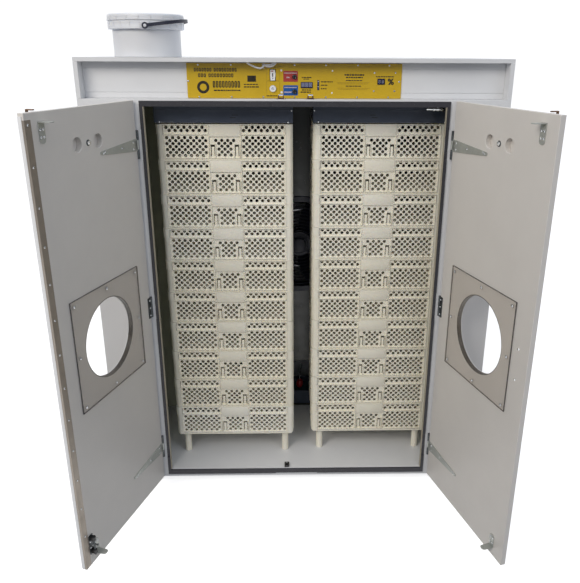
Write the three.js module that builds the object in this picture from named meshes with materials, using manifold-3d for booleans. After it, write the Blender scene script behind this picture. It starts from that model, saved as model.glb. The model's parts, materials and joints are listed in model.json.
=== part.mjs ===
// Cabinet egg incubator with two stacks of setter crates, a pair of doors
// standing open, a header with the control panel, and a water pail on top.
// Millimetres, +Z up, the front faces -Y, the origin is under the middle of the plinth.
import * as THREE from 'three';
import Module from 'manifold-3d';
import { mergeVertices } from 'three/addons/utils/BufferGeometryUtils.js';

const wasm = await Module();
wasm.setup();

// ---------------------------------------------------------------- driving dimensions
const GAP = 0.3; // clearance between touching pieces
const CAB_W = 1206; // outside width
const DOOR_Z = 40; // bottom edge of the doors above the ground
const TOP = 1340; // header top above the door bottom
const BACK_Y = 620; // rear face, measured from the hinge line
const ORIGIN_Y = 310; // the origin lies this far behind the hinge line
const FACE_Y = 5; // front face of the frame, behind the closed doors
const BOARD = 12; // thin board
const WALL = 50; // insulated side wall
const BACK_T = 24; // back panel
const BASE_Z = -7; // underside of the cabinet, from the door bottom
const FLOOR_Z = 22.4; // chamber floor
const CEIL_Z = 1215; // underside of the chamber ceiling
const LEDGE_Z = 1231.7; // top of the front frame
const OPEN_X = 424; // half width of the door opening
const HINGE_X = 445; // half spacing of the hinge lines
const DOOR_T = 15;
const DOOR_H = 1229;
const DOOR_U0 = 4.5; // hinge side edge of the door board
const DOOR_U1 = 443.4; // meeting edge
const OPEN_LEFT = 108; // degrees
const OPEN_RIGHT = 106.5;
const HINGES = [115, 616, 1108]; // heights of the hinges
const KNUCKLE_R = 4;
const PORT = { u: 220, z: 613, r: 113, pane: 311, paneT: 4 };
const VENT = { u: 227, z: 1141, pitch: 43, r: 18 };
const BRACKET = { u0: 382, u1: 402, tongue: 33 };
const HOOK = { u: 407.5, z: 1182, top: 1235 };
const BOLT_U = 413; // tower bolt on the left door
const CRATE = { w: 404, d: 304, h: 104.7, wall: 3, rim: 10, pitch: 105, count: 10 };
const STACKS = { left: { x: -210, y: 89 }, right: { x: 254, y: 102 } };
const STACK_Z = 106; // underside of the lowest crate
const BAFFLE_Y = 416; // inner back wall
const FAN = { x: 15, z: 693, r: 170 };
const FASCIA_Y = 46; // recessed front of the header
const PANEL = { x0: -303.5, x1: 298, z0: 1232.3, z1: 1326, t: 1.6 };
const PAIL = { x: -421.5, y: 122, r: 94, collarR: 105, lidR: 106.5, lidZ: 94, lidH: 18, pivotZ: 80, turn: 10, lean: 8 };

// ---------------------------------------------------------------- materials
const paint = (color, roughness, metalness = 0, extra = {}) =>
  new THREE.MeshStandardMaterial({ color, roughness, metalness, ...extra });
const WHITE = paint(0xdfe1e2, 0.35);
const DOOR_WHITE = paint(0xd8d6d2, 0.4);
const IVORY = paint(0xe9e4d4, 0.45);
const BLACK = paint(0x17181a, 0.35);
const OLIVE = paint(0x4b4d46, 0.3);
const RUBBER = paint(0x101114, 0.7);
const NAVY = paint(0x1a1c33, 0.4);
const STEEL = paint(0xb9bbbd, 0.3, 0.9);
const CHROME = paint(0xd5d8da, 0.12, 1);
const YELLOW = paint(0xd9b62b, 0.3);
const BUTTON_BLACK = paint(0x121212, 0.4);
const BUTTON_WHITE = paint(0xeeeeee, 0.4);
const BRONZE = paint(0x5b5148, 0.45);
const PAIL_WHITE = paint(0xdfe6ee, 0.4);
const CLEAR = paint(0xc9d3d6, 0.05, 0, { transparent: true, opacity: 0.35 });

// ---------------------------------------------------------------- solids
const solid = (geometry) => {
  const plain = geometry.clone();
  plain.deleteAttribute('normal');
  plain.deleteAttribute('uv');
  const g = mergeVertices(plain, 1e-4);
  return new wasm.Manifold(
    new wasm.Mesh({
      numProp: 3,
      vertProperties: Float32Array.from(g.attributes.position.array),
      triVerts: Uint32Array.from(g.index.array),
    }),
  );
};

const toGeometry = (body) => {
  const m = body.getMesh();
  const g = new THREE.BufferGeometry();
  g.setAttribute('position', new THREE.BufferAttribute(Float32Array.from(m.vertProperties), 3));
  g.setIndex(new THREE.BufferAttribute(Uint32Array.from(m.triVerts), 1));
  g.computeVertexNormals();
  return g;
};

// box from two corners, given in any order
const box = (x0, x1, y0, y1, z0, z1) => {
  const g = new THREE.BoxGeometry(Math.abs(x1 - x0), Math.abs(y1 - y0), Math.abs(z1 - z0));
  g.translate((x0 + x1) / 2, (y0 + y1) / 2, (z0 + z1) / 2);
  return solid(g);
};

// cylinder along an axis from a0 to a1; c1 and c2 are its centre on the other two axes
const rod = (axis, r, a0, a1, c1, c2, sides = 24, rEnd = r) => {
  const g = new THREE.CylinderGeometry(rEnd, r, Math.abs(a1 - a0), sides);
  const mid = (a0 + a1) / 2;
  if (axis === 'x') {
    g.rotateZ(-Math.PI / 2).translate(mid, c1, c2);
  } else if (axis === 'y') {
    g.translate(c1, mid, c2);
  } else {
    g.rotateX(Math.PI / 2).translate(c1, c2, mid);
  }
  return solid(g);
};

// flat plate: outline in x and z, from y0 to y1
const plate = (points, y0, y1) => {
  const shape = new THREE.Shape(points.map(([x, z]) => new THREE.Vector2(x, z)));
  const g = new THREE.ExtrudeGeometry(shape, { depth: Math.abs(y1 - y0), bevelEnabled: false });
  g.rotateX(Math.PI / 2).translate(0, Math.max(y0, y1), 0);
  return solid(g);
};

// turned ring about an axis along y or z; the profile is [radius, height] and closes on itself
const turned = (axis, profile, x, y, z, segments = 32) => {
  const points = [...profile, profile[0]].map(([r, h]) => new THREE.Vector2(r, h));
  const g = new THREE.LatheGeometry(points, segments);
  if (axis === 'z') {
    g.rotateX(Math.PI / 2);
  }
  g.translate(x, y, z);
  return solid(g);
};

const join = (first, ...rest) => rest.reduce((a, b) => a.add(b), first);
const cut = (first, ...rest) => rest.reduce((a, b) => a.subtract(b), first);

const incubator = new THREE.Group();
const cabinet = new THREE.Group();
cabinet.position.set(0, -ORIGIN_Y, DOOR_Z);
incubator.add(cabinet);

const add = (name, body, material, parent = cabinet) => {
  const geometry = body.isBufferGeometry ? body : toGeometry(body);
  const mesh = new THREE.Mesh(geometry, material);
  mesh.name = name;
  parent.add(mesh);
  return mesh;
};

// ---------------------------------------------------------------- cabinet boards
const X = CAB_W / 2;
const INNER_X = X - WALL;
const BACK_IN = BACK_Y - BACK_T - GAP;
const BEHIND_FRAME = FACE_Y + BOARD + GAP;

for (const [side, s] of [['left', -1], ['right', 1]]) {
  add(`side_panel_${side}`, join(
    box(s * X, s * INNER_X, BEHIND_FRAME, BACK_IN, BASE_Z, LEDGE_Z),
    box(s * X, s * (X - BOARD), BEHIND_FRAME, BACK_IN, LEDGE_Z - 20, TOP - 11 - GAP),
    box(s * X, s * (X - BOARD), FACE_Y, BEHIND_FRAME + 5, LEDGE_Z + GAP, TOP - 11 - GAP),
  ), WHITE);
}

const vents = [-200, 200].map((x) => rod('y', 20, BACK_IN - 1, BACK_Y + 1, x, 150));
add('back_panel', cut(
  box(-X, X, BACK_Y - BACK_T, BACK_Y, BASE_Z, TOP - 11 - GAP),
  ...vents,
), WHITE);

const keeperX = BOLT_U - HINGE_X;
add('floor_panel', cut(
  join(
    box(-INNER_X + GAP, INNER_X - GAP, BEHIND_FRAME, BACK_IN, BASE_Z, FLOOR_Z),
    box(-540, 540, 60, 580, -DOOR_Z, BASE_Z + 1),
    box(keeperX - 8, keeperX + 8, FACE_Y + 1.2, 28, FLOOR_Z + GAP, FLOOR_Z + 8),
    box(keeperX - 8, keeperX + 8, BEHIND_FRAME + 2, 28, FLOOR_Z - 1, FLOOR_Z + 8),
  ),
  rod('z', 3.6, FLOOR_Z, FLOOR_Z + 9, keeperX, 11, 16),
), WHITE);

add('ceiling_panel', box(
  -INNER_X + GAP, INNER_X - GAP, BEHIND_FRAME, BACK_IN, CEIL_Z, LEDGE_Z,
), WHITE);

// the frame carries the fixed half of each hinge
let frame = cut(
  box(-X, X, FACE_Y, FACE_Y + BOARD, BASE_Z, LEDGE_Z),
  box(-OPEN_X, OPEN_X, FACE_Y - 1, FACE_Y + BOARD + 1, FLOOR_Z, CEIL_Z),
);
for (const s of [-1, 1]) {
  for (const [i, z] of HINGES.entries()) {
    const long = i === 1 ? 33 : 40;
    const short = i === 1 ? 11.4 : 13;
    for (const [z0, z1] of [[z - long, z - short], [z + short, z + long]]) {
      frame = join(
        frame,
        rod('z', KNUCKLE_R, z0, z1, s * HINGE_X, 0, 12),
        box(s * HINGE_X - 3, s * HINGE_X + 3, 1, FACE_Y + 1, z0, z1),
      );
    }
  }
}
add('front_frame', frame, WHITE);

// bulb seal on the face of the frame, thinned where the door hardware crosses it
const SEAL = { x0: 433, x1: 424.4, z0: 4, z1: 21, z2: 1212, z3: 1227 };
const sealCuts = [SEAL.z0, SEAL.z2].map((z) => box(-70, 70, 0, 2.6, z - 5, z + 25));
for (const s of [-1, 1]) {
  for (const z of HINGES) {
    sealCuts.push(box(s * 400, s * 446, 0, 2.6, z - 42, z + 42));
  }
}
add('door_seal', cut(
  box(-SEAL.x0, SEAL.x0, 0.4, FACE_Y - GAP, SEAL.z0, SEAL.z3),
  box(-SEAL.x1, SEAL.x1, 0, FACE_Y, SEAL.z1, SEAL.z2),
  ...sealCuts,
), RUBBER);

// ---------------------------------------------------------------- header
add('header_top', box(-X, X, FACE_Y, BACK_Y, TOP - 11, TOP), WHITE);

const CONTROLS = {
  power: { x: -65, z: 1294 },
  mode: { x: -64, z: 1258.5, r: 9 },
  up: { x: -3, z: 1289, r: 6 },
  down: { x: -3, z: 1251, r: 6 },
};
const controlHoles = (margin, y0, y1) => [
  box(-65 - 9 - margin, -65 + 9 + margin, y0, y1, 1294 - 15.5 - margin, 1294 + 15.5 + margin),
  ...['mode', 'up', 'down'].map((key) => {
    const c = CONTROLS[key];
    return rod('y', c.r + margin, y0, y1, c.x, c.z, 20);
  }),
];
add('header_fascia', cut(
  box(-X + BOARD + GAP, X - BOARD - GAP, FASCIA_Y, FASCIA_Y + 6, LEDGE_Z + GAP, TOP - 11 - GAP),
  ...controlHoles(1.5, FASCIA_Y - 1, FASCIA_Y + 7),
), WHITE);

const PANEL_Y = FASCIA_Y - GAP - PANEL.t; // front face of the control panel
add('control_panel', cut(
  join(
    box(PANEL.x0, PANEL.x1, PANEL_Y, FASCIA_Y - GAP, PANEL.z0, PANEL.z1),
    box(14, 48, PANEL_Y - 1, PANEL_Y + 1, 1260, 1278),
    box(230, 255, PANEL_Y - 1, PANEL_Y + 1, 1269.5, 1287),
  ),
  ...controlHoles(0.6, PANEL_Y - 2, FASCIA_Y),
), YELLOW);

const power = CONTROLS.power;
const rocker = new THREE.Group();
rocker.position.set(power.x, PANEL_Y + 4, power.z);
rocker.rotation.x = THREE.MathUtils.degToRad(-7);
cabinet.add(rocker);
add('power_switch', join(
  plate([[-8.4, -15], [8.4, -15], [8.4, 15], [-8.4, 15]], -6, -4.6),
  plate([[-8.4, -14.6], [8.4, -14.6], [8.4, 14.6], [-8.4, 14.6]], -5, 8),
), BUTTON_WHITE, rocker);

for (const [key, material] of [['mode', BUTTON_WHITE], ['up', BUTTON_BLACK], ['down', BUTTON_BLACK]]) {
  const c = CONTROLS[key];
  add(`${key}_button`, join(
    rod('y', c.r - 0.8, PANEL_Y - 6, PANEL_Y - 5, c.x, c.z, 20, c.r),
    rod('y', c.r, PANEL_Y - 5, PANEL_Y + 10, c.x, c.z, 20),
  ), material);
}

// lead that leaves the underside of the header top, sags across the panel and goes back up
const leadPoints = [
  [-142, 22, TOP - 12.2],
  [-141, 23, TOP - 15],
  [-130, 26, TOP - 22],
  [-112, 30, TOP - 27.5],
  [-96, 33, TOP - 29.5],
  [-87, 34, TOP - 26],
  [-76, 34, TOP - 23.5],
  [-64, 31, TOP - 20],
  [-56, 27, TOP - 15.5],
  [-54, 26, TOP - 12.2],
].map(([x, y, z]) => new THREE.Vector3(x, y, z));
const leadSection = new THREE.Shape(
  Array.from({ length: 8 }, (_, i) => {
    const a = (i * Math.PI) / 4;
    return new THREE.Vector2(2.3 * Math.cos(a), 2.3 * Math.sin(a));
  }),
);
add('panel_lead', solid(new THREE.ExtrudeGeometry(leadSection, {
  steps: 24,
  extrudePath: new THREE.CatmullRomCurve3(leadPoints),
})), BUTTON_WHITE);

// ---------------------------------------------------------------- chamber fittings
const airSlots = [STACKS.left.x, STACKS.right.x].map((x) =>
  box(x - 180, x + 180, BAFFLE_Y - 1, BAFFLE_Y + 4, 1166, 1206));
add('rear_baffle', cut(
  box(-INNER_X + GAP, INNER_X - GAP, BAFFLE_Y, BAFFLE_Y + 3, FLOOR_Z + GAP, CEIL_Z - GAP),
  rod('y', FAN.r + GAP + 0.2, BAFFLE_Y - 1, BAFFLE_Y + 4, FAN.x, FAN.z, 48),
  box(FAN.x - 150, FAN.x + 150, BAFFLE_Y - 1, BAFFLE_Y + 4, 29, 222),
  ...airSlots,
), OLIVE);

for (const [side, stack] of Object.entries(STACKS)) {
  const x0 = stack.x - CRATE.w / 2;
  const x1 = stack.x + CRATE.w / 2;
  const y0 = stack.y - 5;
  add(`hood_${side}`, cut(
    box(x0, x1, y0, 410, 1160, CEIL_Z - GAP),
    box(x0 + 2, x1 - 2, y0 + 2, 411, 1159, CEIL_Z - GAP - 2),
  ), BLACK);
}

// fan: ring, front cross, rear spider, motor and shaft in one casting
const FY = BAFFLE_Y;
const spokes = [];
for (let i = 0; i < 4; i += 1) {
  const a = Math.PI / 4 + (i * Math.PI) / 2;
  for (const [y0, y1, r0, w] of [[-4.5, -1, 10, 3], [46, 50, 20, 8]]) {
    const g = new THREE.BoxGeometry(163 - r0, y1 - y0, w);
    g.translate((163 + r0) / 2, (y0 + y1) / 2, 0);
    g.rotateY(a).translate(FAN.x, FY, FAN.z);
    spokes.push(solid(g));
  }
}
add('fan_housing', join(
  turned('y', [
    [160, 0], [160, -5], [FAN.r + 10, -5], [FAN.r + 10, -GAP],
    [FAN.r, -GAP], [FAN.r, 55], [160, 55],
  ], FAN.x, FY, FAN.z, 32),
  rod('y', 24, FY - 5, FY - 1, FAN.x, FAN.z, 20),
  ...spokes,
  rod('y', 42, FY + 46, FY + 110, FAN.x, FAN.z, 24),
  rod('y', 5, FY + 8, FY + 47, FAN.x, FAN.z, 16),
), NAVY);

const blades = [];
for (let i = 0; i < 5; i += 1) {
  const g = new THREE.BoxGeometry(112, 2.4, 62);
  g.translate(96, 0, 0);
  g.rotateX(0.45).rotateY((i * 2 * Math.PI) / 5);
  g.translate(FAN.x, FY + 25, FAN.z);
  blades.push(solid(g));
}
add('fan_rotor', cut(
  join(rod('y', 46, FY + 12, FY + 40, FAN.x, FAN.z, 24), ...blades),
  rod('y', 5.3, FY - 5, FY + 60, FAN.x, FAN.z, 16),
), NAVY);

const heaterY = FY + 90;
const heaterRing = new THREE.TorusGeometry(110, 5, 6, 24);
heaterRing.rotateX(Math.PI / 2).translate(FAN.x, heaterY, FAN.z);
add('heater', join(
  solid(heaterRing),
  rod('y', 4.5, heaterY, BACK_IN, FAN.x - 15, FAN.z - 109, 12),
  rod('y', 4.5, heaterY, BACK_IN, FAN.x + 15, FAN.z - 109, 12),
), STEEL);

add('water_pan', cut(
  box(FAN.x - 145, FAN.x + 145, FY + 8, FY + 130, FLOOR_Z + GAP, FLOOR_Z + 62),
  box(FAN.x - 142, FAN.x + 142, FY + 11, FY + 127, FLOOR_Z + 4, FLOOR_Z + 63),
), BLACK);

add('probe', join(
  rod('x', 5.5, 374, 424, 45, 1203.5, 16),
  box(380, 414, 42, 48, 1203.5, CEIL_Z - GAP),
), CHROME);

// ---------------------------------------------------------------- stands and crates
for (const [side, stack] of Object.entries(STACKS)) {
  const w = 196;
  const y0 = stack.y + 4;
  const y1 = stack.y + CRATE.d - 4;
  let stand = cut(
    box(stack.x - w, stack.x + w, y0, y1, STACK_Z - 5, STACK_Z - GAP),
    box(stack.x - w + 60, stack.x + w - 60, y0 + 60, y1 - 60, STACK_Z - 6, STACK_Z),
  );
  for (const sx of [-1, 1]) {
    for (const y of [stack.y + 31, stack.y + CRATE.d - 31]) {
      stand = join(stand, rod('z', 12, FLOOR_Z + GAP, STACK_Z - 2, stack.x + sx * 171, y, 16));
    }
  }
  add(`stand_${side}`, stand, IVORY);
}

// open crate: tapered in steps, with a rim band and a hand hole in each short side
const crateHalf = CRATE.w / 2;
const crate = toGeometry(cut(
  join(
    box(-crateHalf, crateHalf, 0, CRATE.d, CRATE.h - CRATE.rim, CRATE.h),
    box(-crateHalf + 2, crateHalf - 2, 2, CRATE.d - 2, 0, CRATE.h),
  ),
  box(-crateHalf + 2 + CRATE.wall, crateHalf - 2 - CRATE.wall,
    2 + CRATE.wall, CRATE.d - 2 - CRATE.wall, CRATE.wall, CRATE.h + 1),
  box(-crateHalf - 1, crateHalf + 1, 112, CRATE.d - 112, 60, 84),
));
for (const [side, stack] of Object.entries(STACKS)) {
  for (let i = 0; i < CRATE.count; i += 1) {
    const number = String(i + 1).padStart(2, '0');
    const mesh = add(`crate_${side}_${number}`, crate, IVORY);
    mesh.position.set(stack.x, stack.y, STACK_Z + i * CRATE.pitch);
  }
}

// ---------------------------------------------------------------- doors
// Local frame of a door: x is the distance from the hinge line (mirrored on the right),
// y = 0 is the inner face of the closed door, z = 0 is the bottom edge.
for (const [side, s, open] of [['left', 1, -OPEN_LEFT], ['right', -1, OPEN_RIGHT]]) {
  const door = new THREE.Group();
  door.position.set(-s * HINGE_X, 0, 0);
  door.rotation.z = THREE.MathUtils.degToRad(open);
  cabinet.add(door);
  const at = (u0, u1, y0, y1, z0, z1) => box(s * u0, s * u1, y0, y1, z0, z1);

  let board = cut(
    at(DOOR_U0, DOOR_U1, -DOOR_T, 0, 0, DOOR_H),
    rod('y', PORT.r, -DOOR_T - 1, 1, s * PORT.u, PORT.z, 32),
    rod('y', VENT.r, -DOOR_T - 1, 1, s * (VENT.u - VENT.pitch), VENT.z, 16),
    rod('y', VENT.r, -DOOR_T - 1, 1, s * (VENT.u + VENT.pitch), VENT.z, 16),
    rod('y', 3.4, -DOOR_T - 1, 1, s * VENT.u, VENT.z, 12),
  );
  for (const [i, z] of HINGES.entries()) {
    const half = i === 1 ? 11 : 12.6;
    board = join(
      board,
      rod('z', KNUCKLE_R, z - half, z + half, 0, 0, 12),
      at(0.5, 16, -0.5, 2, z - half, z + half),
    );
    const leaf = i === 1
      ? [[5, -33], [18, -33], [18, 33], [5, 33]]
      : [[5, -17.5], [180, -4.5], [180, 4.5], [5, 17.5]];
    board = join(board, plate(leaf.map(([u, dz]) => [s * u, z + dz]), -0.5, 2));
  }
  const { u0, u1, tongue } = BRACKET;
  board = join(
    board,
    at(u0, u1, -0.5, 2, 1159, 1212),
    at(u0, u1, -0.5, tongue, 1206, 1208),
    at(u0, u1, -0.5, 2, 25.5, 66),
    at(u0, u1, 0, tongue, 25.5, 27.5),
  );
  for (const u of [HOOK.u - 12, HOOK.u + 9.3]) {
    board = join(board, at(u, u + 2.7, -DOOR_T - 8, -DOOR_T + 0.5, HOOK.z - 8, HOOK.z + 8));
  }
  add(`door_${side}`, board, DOOR_WHITE, door);

  const half = PORT.pane / 2;
  add(`pane_${side}`, at(
    PORT.u - half, PORT.u + half, GAP, GAP + PORT.paneT, PORT.z - half, PORT.z + half,
  ), CLEAR, door);

  // rotary shutter on the outer face, turned a quarter so that it covers the vent holes
  add(`vent_shutter_${side}`, join(
    cut(
      rod('y', 66, -DOOR_T - GAP - 3, -DOOR_T - GAP, s * VENT.u, VENT.z, 24),
      rod('y', VENT.r, -DOOR_T - 5, -DOOR_T, s * VENT.u, VENT.z - VENT.pitch, 16),
      rod('y', VENT.r, -DOOR_T - 5, -DOOR_T, s * VENT.u, VENT.z + VENT.pitch, 16),
    ),
    rod('y', 3, -DOOR_T - 8, 6, s * VENT.u, VENT.z, 12),
    rod('y', 12, -DOOR_T - 14, -DOOR_T - 3, s * VENT.u, VENT.z, 16),
    rod('y', 5.5, GAP, 4.5, s * VENT.u, VENT.z, 6),
  ), DOOR_WHITE, door);

  // draw hook between two ears, with its nose bent in over the top of the door, towards the catch
  const hookY = -DOOR_T - GAP;
  add(`hook_${side}`, join(
    at(HOOK.u - 4, HOOK.u + 4, hookY - 5, hookY - 2, HOOK.z, HOOK.top - 0.5),
    at(HOOK.u - 4, HOOK.u + 4, hookY - 5, -1, HOOK.top - 3, HOOK.top),
    rod('x', 4, s * (HOOK.u - 9), s * (HOOK.u + 9), hookY - 4.2, HOOK.z, 12),
  ), CHROME, door);

  if (side === 'left') {
    add('meeting_strip', join(
      at(424, 444.9, GAP, 1.5, 4, 1222),
      at(443.7, 444.9, -DOOR_T, 1.5, 4, 1222),
    ), BRONZE, door);
    add('bolt_housing', cut(
      join(
        at(BOLT_U - 10, BOLT_U + 10, GAP, 2.3, 33, 97),
        at(BOLT_U - 6.5, BOLT_U + 6.5, 2, 17, 36, 56),
        at(BOLT_U - 6.5, BOLT_U + 6.5, 2, 17, 80, 94),
      ),
      rod('z', 3.5, 30, 100, BOLT_U, 11, 16),
    ), BUTTON_BLACK, door);
    add('bolt_rod', join(
      rod('z', 3, 32, 92, BOLT_U, 11, 16),
      rod('y', 2.6, 11, 24, BOLT_U, 68, 12),
    ), BUTTON_BLACK, door);
  } else {
    const bar = at(398, 406, -45, -39, 558, 660);
    const post = (z) => at(398, 406, -42, -DOOR_T - GAP, z - 4, z + 4);
    add('handle_right', join(bar, post(566), post(652)), CHROME, door);
  }
}

// ---------------------------------------------------------------- water pail on the header
const pailZ = TOP + GAP;
const pail = new THREE.Group();
pail.position.set(PAIL.x, PAIL.y, pailZ);
pail.rotation.z = THREE.MathUtils.degToRad(PAIL.turn);
cabinet.add(pail);
const ears = [-1, 1].map((s) => rod('y', 4, s * 100, s * 119, 0, PAIL.pivotZ, 16));
add('pail', cut(
  join(
    rod('z', PAIL.r, 0, 76, 0, 0, 32),
    rod('z', PAIL.collarR, 72, PAIL.lidZ - 0.5, 0, 0, 32),
    rod('z', 101, 76, PAIL.lidZ + 9, 0, 0, 32),
    ...ears,
  ),
  rod('z', PAIL.r - 2.5, 3, 120, 0, 0, 32),
), PAIL_WHITE, pail);

const lidTop = PAIL.lidZ + PAIL.lidH;
add('pail_lid', turned('z', [
  [0, PAIL.lidZ + 9 + GAP], [102, PAIL.lidZ + 9 + GAP], [102, PAIL.lidZ],
  [PAIL.lidR, PAIL.lidZ], [PAIL.lidR, lidTop - 5], [PAIL.lidR - 4, lidTop],
  [PAIL.lidR - 8, lidTop], [PAIL.lidR - 10, lidTop - 4], [0, lidTop - 4],
], 0, 0, 0, 32), PAIL_WHITE, pail);

// bail: half ring lying round the right side, pivoting on the two ears, its far end a little raised
const bail = new THREE.Group();
bail.position.z = PAIL.pivotZ;
bail.rotation.y = -THREE.MathUtils.degToRad(PAIL.lean);
pail.add(bail);
const bailIn = 114.5;
const bailOut = 117.5;
const halfRing = cut(
  turned('z', [[bailIn, -4.5], [bailOut, -4.5], [bailOut, 4.5], [bailIn, 4.5]], 0, 0, 0, 36),
  box(-130, 0, -130, 130, -10, 10),
);
const bailEnds = [-1, 1].map((s) => rod('y', 8.5, s * bailIn, s * bailOut, 0, 0, 20));
const bailHoles = [-1, 1].map((s) => rod('y', 4.3, s * 100, s * 130, 0, 0, 16));
add('pail_bail', cut(join(halfRing, ...bailEnds), ...bailHoles), NAVY, bail);

export default incubator;
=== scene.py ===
"""Cabinet egg incubator: everything that is seen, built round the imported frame.

Lengths are millimetres in local frames, which PLACE turns into the part's metres:
- the cabinet's: x to the right, y back from the line of the door hinges, z up from the doors' bottom edge;
- an open door's: x out from its hinge line (negative on the right door), y = 0 on the inner face, which faces +y;
- the crates' and the pail's, which start from their own boxes in the frame.
"""

import json
import math
import random

import bmesh
import bpy
from mathutils import Matrix, Vector
from mathutils.geometry import delaunay_2d_cdt


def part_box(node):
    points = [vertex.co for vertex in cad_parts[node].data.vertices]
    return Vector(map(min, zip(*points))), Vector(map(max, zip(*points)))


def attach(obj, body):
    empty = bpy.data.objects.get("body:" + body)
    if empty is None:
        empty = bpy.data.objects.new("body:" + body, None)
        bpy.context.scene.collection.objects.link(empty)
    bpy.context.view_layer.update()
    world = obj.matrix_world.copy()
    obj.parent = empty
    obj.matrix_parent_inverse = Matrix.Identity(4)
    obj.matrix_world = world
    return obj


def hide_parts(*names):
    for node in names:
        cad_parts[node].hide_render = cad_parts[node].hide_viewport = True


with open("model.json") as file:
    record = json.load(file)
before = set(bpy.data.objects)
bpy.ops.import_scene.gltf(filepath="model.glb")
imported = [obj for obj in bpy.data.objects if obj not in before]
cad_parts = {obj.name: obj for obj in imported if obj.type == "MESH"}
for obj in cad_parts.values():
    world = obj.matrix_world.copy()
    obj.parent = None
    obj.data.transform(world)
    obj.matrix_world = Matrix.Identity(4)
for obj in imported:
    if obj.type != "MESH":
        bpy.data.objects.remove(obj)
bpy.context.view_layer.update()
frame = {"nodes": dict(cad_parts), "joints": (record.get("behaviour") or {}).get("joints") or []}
scene = bpy.context.scene
joints = {joint["name"]: joint for joint in frame["joints"]}
dice = random.Random(11)

# ---------------------------------------------------------------- driving sizes
TOP = 1340  # header top
LIP_Z = 1328.7  # underside of the header's top board
BACK_Y = 596  # inner face of the back panel
FACE_Y = 5  # front face of the frame, behind the closed doors
FRAME_T = 12
SILL_Z = -7  # bottom of the front frame
HALF_W = 603
INNER_X = 553  # chamber side walls
OPEN_X = 424  # half width of the door opening
FLOOR_Z = 22.4
CEIL_Z = 1215
LEDGE_Z = 1231.7
DOOR_T = 15
DOOR_H = 1229
DOOR_U0 = 4.5
DOOR_U1 = 443.4
HINGE_X = 445
HINGES = (115, 616, 1108)
PORT = Vector((220, 613))
PORT_R = 113
VENT = Vector((227, 1141))
VENT_PITCH = 43
VENT_R = 18
HOOK_U = 407.5
HOOK_Z = 1182
BOLT_U = 413
BOLT_Y = 11
BAFFLE_Y = 416
FAN = Vector((15, BAFFLE_Y, 693))
FASCIA_Y = 46
PANEL_Y = 44.1  # front face of the control panel
PANEL_X = (-303.5, 298)
PANEL_Z = (1232.3, 1326)
CRATE_W = 404
CRATE_D = 304
CRATE_H = 104.7
GAP = 0.3
WASHER_T = 0.9
SHARP = math.radians(34)

HINGE_LEFT = Vector(joints["door_left_hinge"]["pos_m"])
HINGE_RIGHT = Vector(joints["door_right_hinge"]["pos_m"])
DOOR_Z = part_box("header_top")[1].z - TOP / 1000
MILLI = Matrix.Scale(0.001, 4)
PLACE = {"cabinet": Matrix.Translation((0, HINGE_LEFT.y, DOOR_Z)) @ MILLI}
for side, hinge in (("left", HINGE_LEFT), ("right", HINGE_RIGHT)):
    joint = joints[f"door_{side}_hinge"]
    opened = math.radians(-joint["axis"][2] * joint["range_deg"][0])
    for carried in (f"door_{side}", f"hook_{side}", f"vent_shutter_{side}"):
        PLACE[carried] = Matrix.Translation((hinge.x, hinge.y, DOOR_Z)) @ Matrix.Rotation(opened, 4, "Z") @ MILLI
PLACE["bolt_rod"] = PLACE["door_left"]
SIDES = (("left", 1), ("right", -1))  # a door's name and the way its x runs
TO_FRONT = Matrix.Rotation(math.pi / 2, 4, "X")  # turns +z to -y
TO_BACK = Matrix.Rotation(-math.pi / 2, 4, "X")  # turns +z to +y
TO_RIGHT = Matrix.Rotation(math.pi / 2, 4, "Y")  # turns +z to +x


# ---------------------------------------------------------------- materials
def srgb(red, green, blue):
    """A colour as the eye reads it, 0 to 255, as the linear colour that a shader takes."""
    shares = [value / 255 for value in (red, green, blue)]
    return [s / 12.92 if s <= 0.04045 else ((s + 0.055) / 1.055) ** 2.4 for s in shares] + [1]


def noise(tree, source, scale, detail=3, rough=0.5):
    node = tree.nodes.new("ShaderNodeTexNoise")
    node.inputs["Scale"].default_value = scale
    node.inputs["Detail"].default_value = detail
    node.inputs["Roughness"].default_value = rough
    tree.links.new(source, node.inputs["Vector"])
    return node.outputs["Fac"]


def stretch(tree, value, low, high, start=0.3, end=0.7):
    node = tree.nodes.new("ShaderNodeMapRange")
    for name, number in (("From Min", start), ("From Max", end), ("To Min", low), ("To Max", high)):
        node.inputs[name].default_value = number
    tree.links.new(value, node.inputs["Value"])
    return node.outputs["Result"]


def blend_colours(tree, share, first, second):
    node = tree.nodes.new("ShaderNodeMix")
    node.data_type = "RGBA"
    tree.links.new(share, node.inputs["Factor"])
    for socket, colour in ((node.inputs["A"], first), (node.inputs["B"], second)):
        if hasattr(colour, "is_linked"):
            tree.links.new(colour, socket)
        else:
            socket.default_value = colour
    return node.outputs["Result"]


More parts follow.
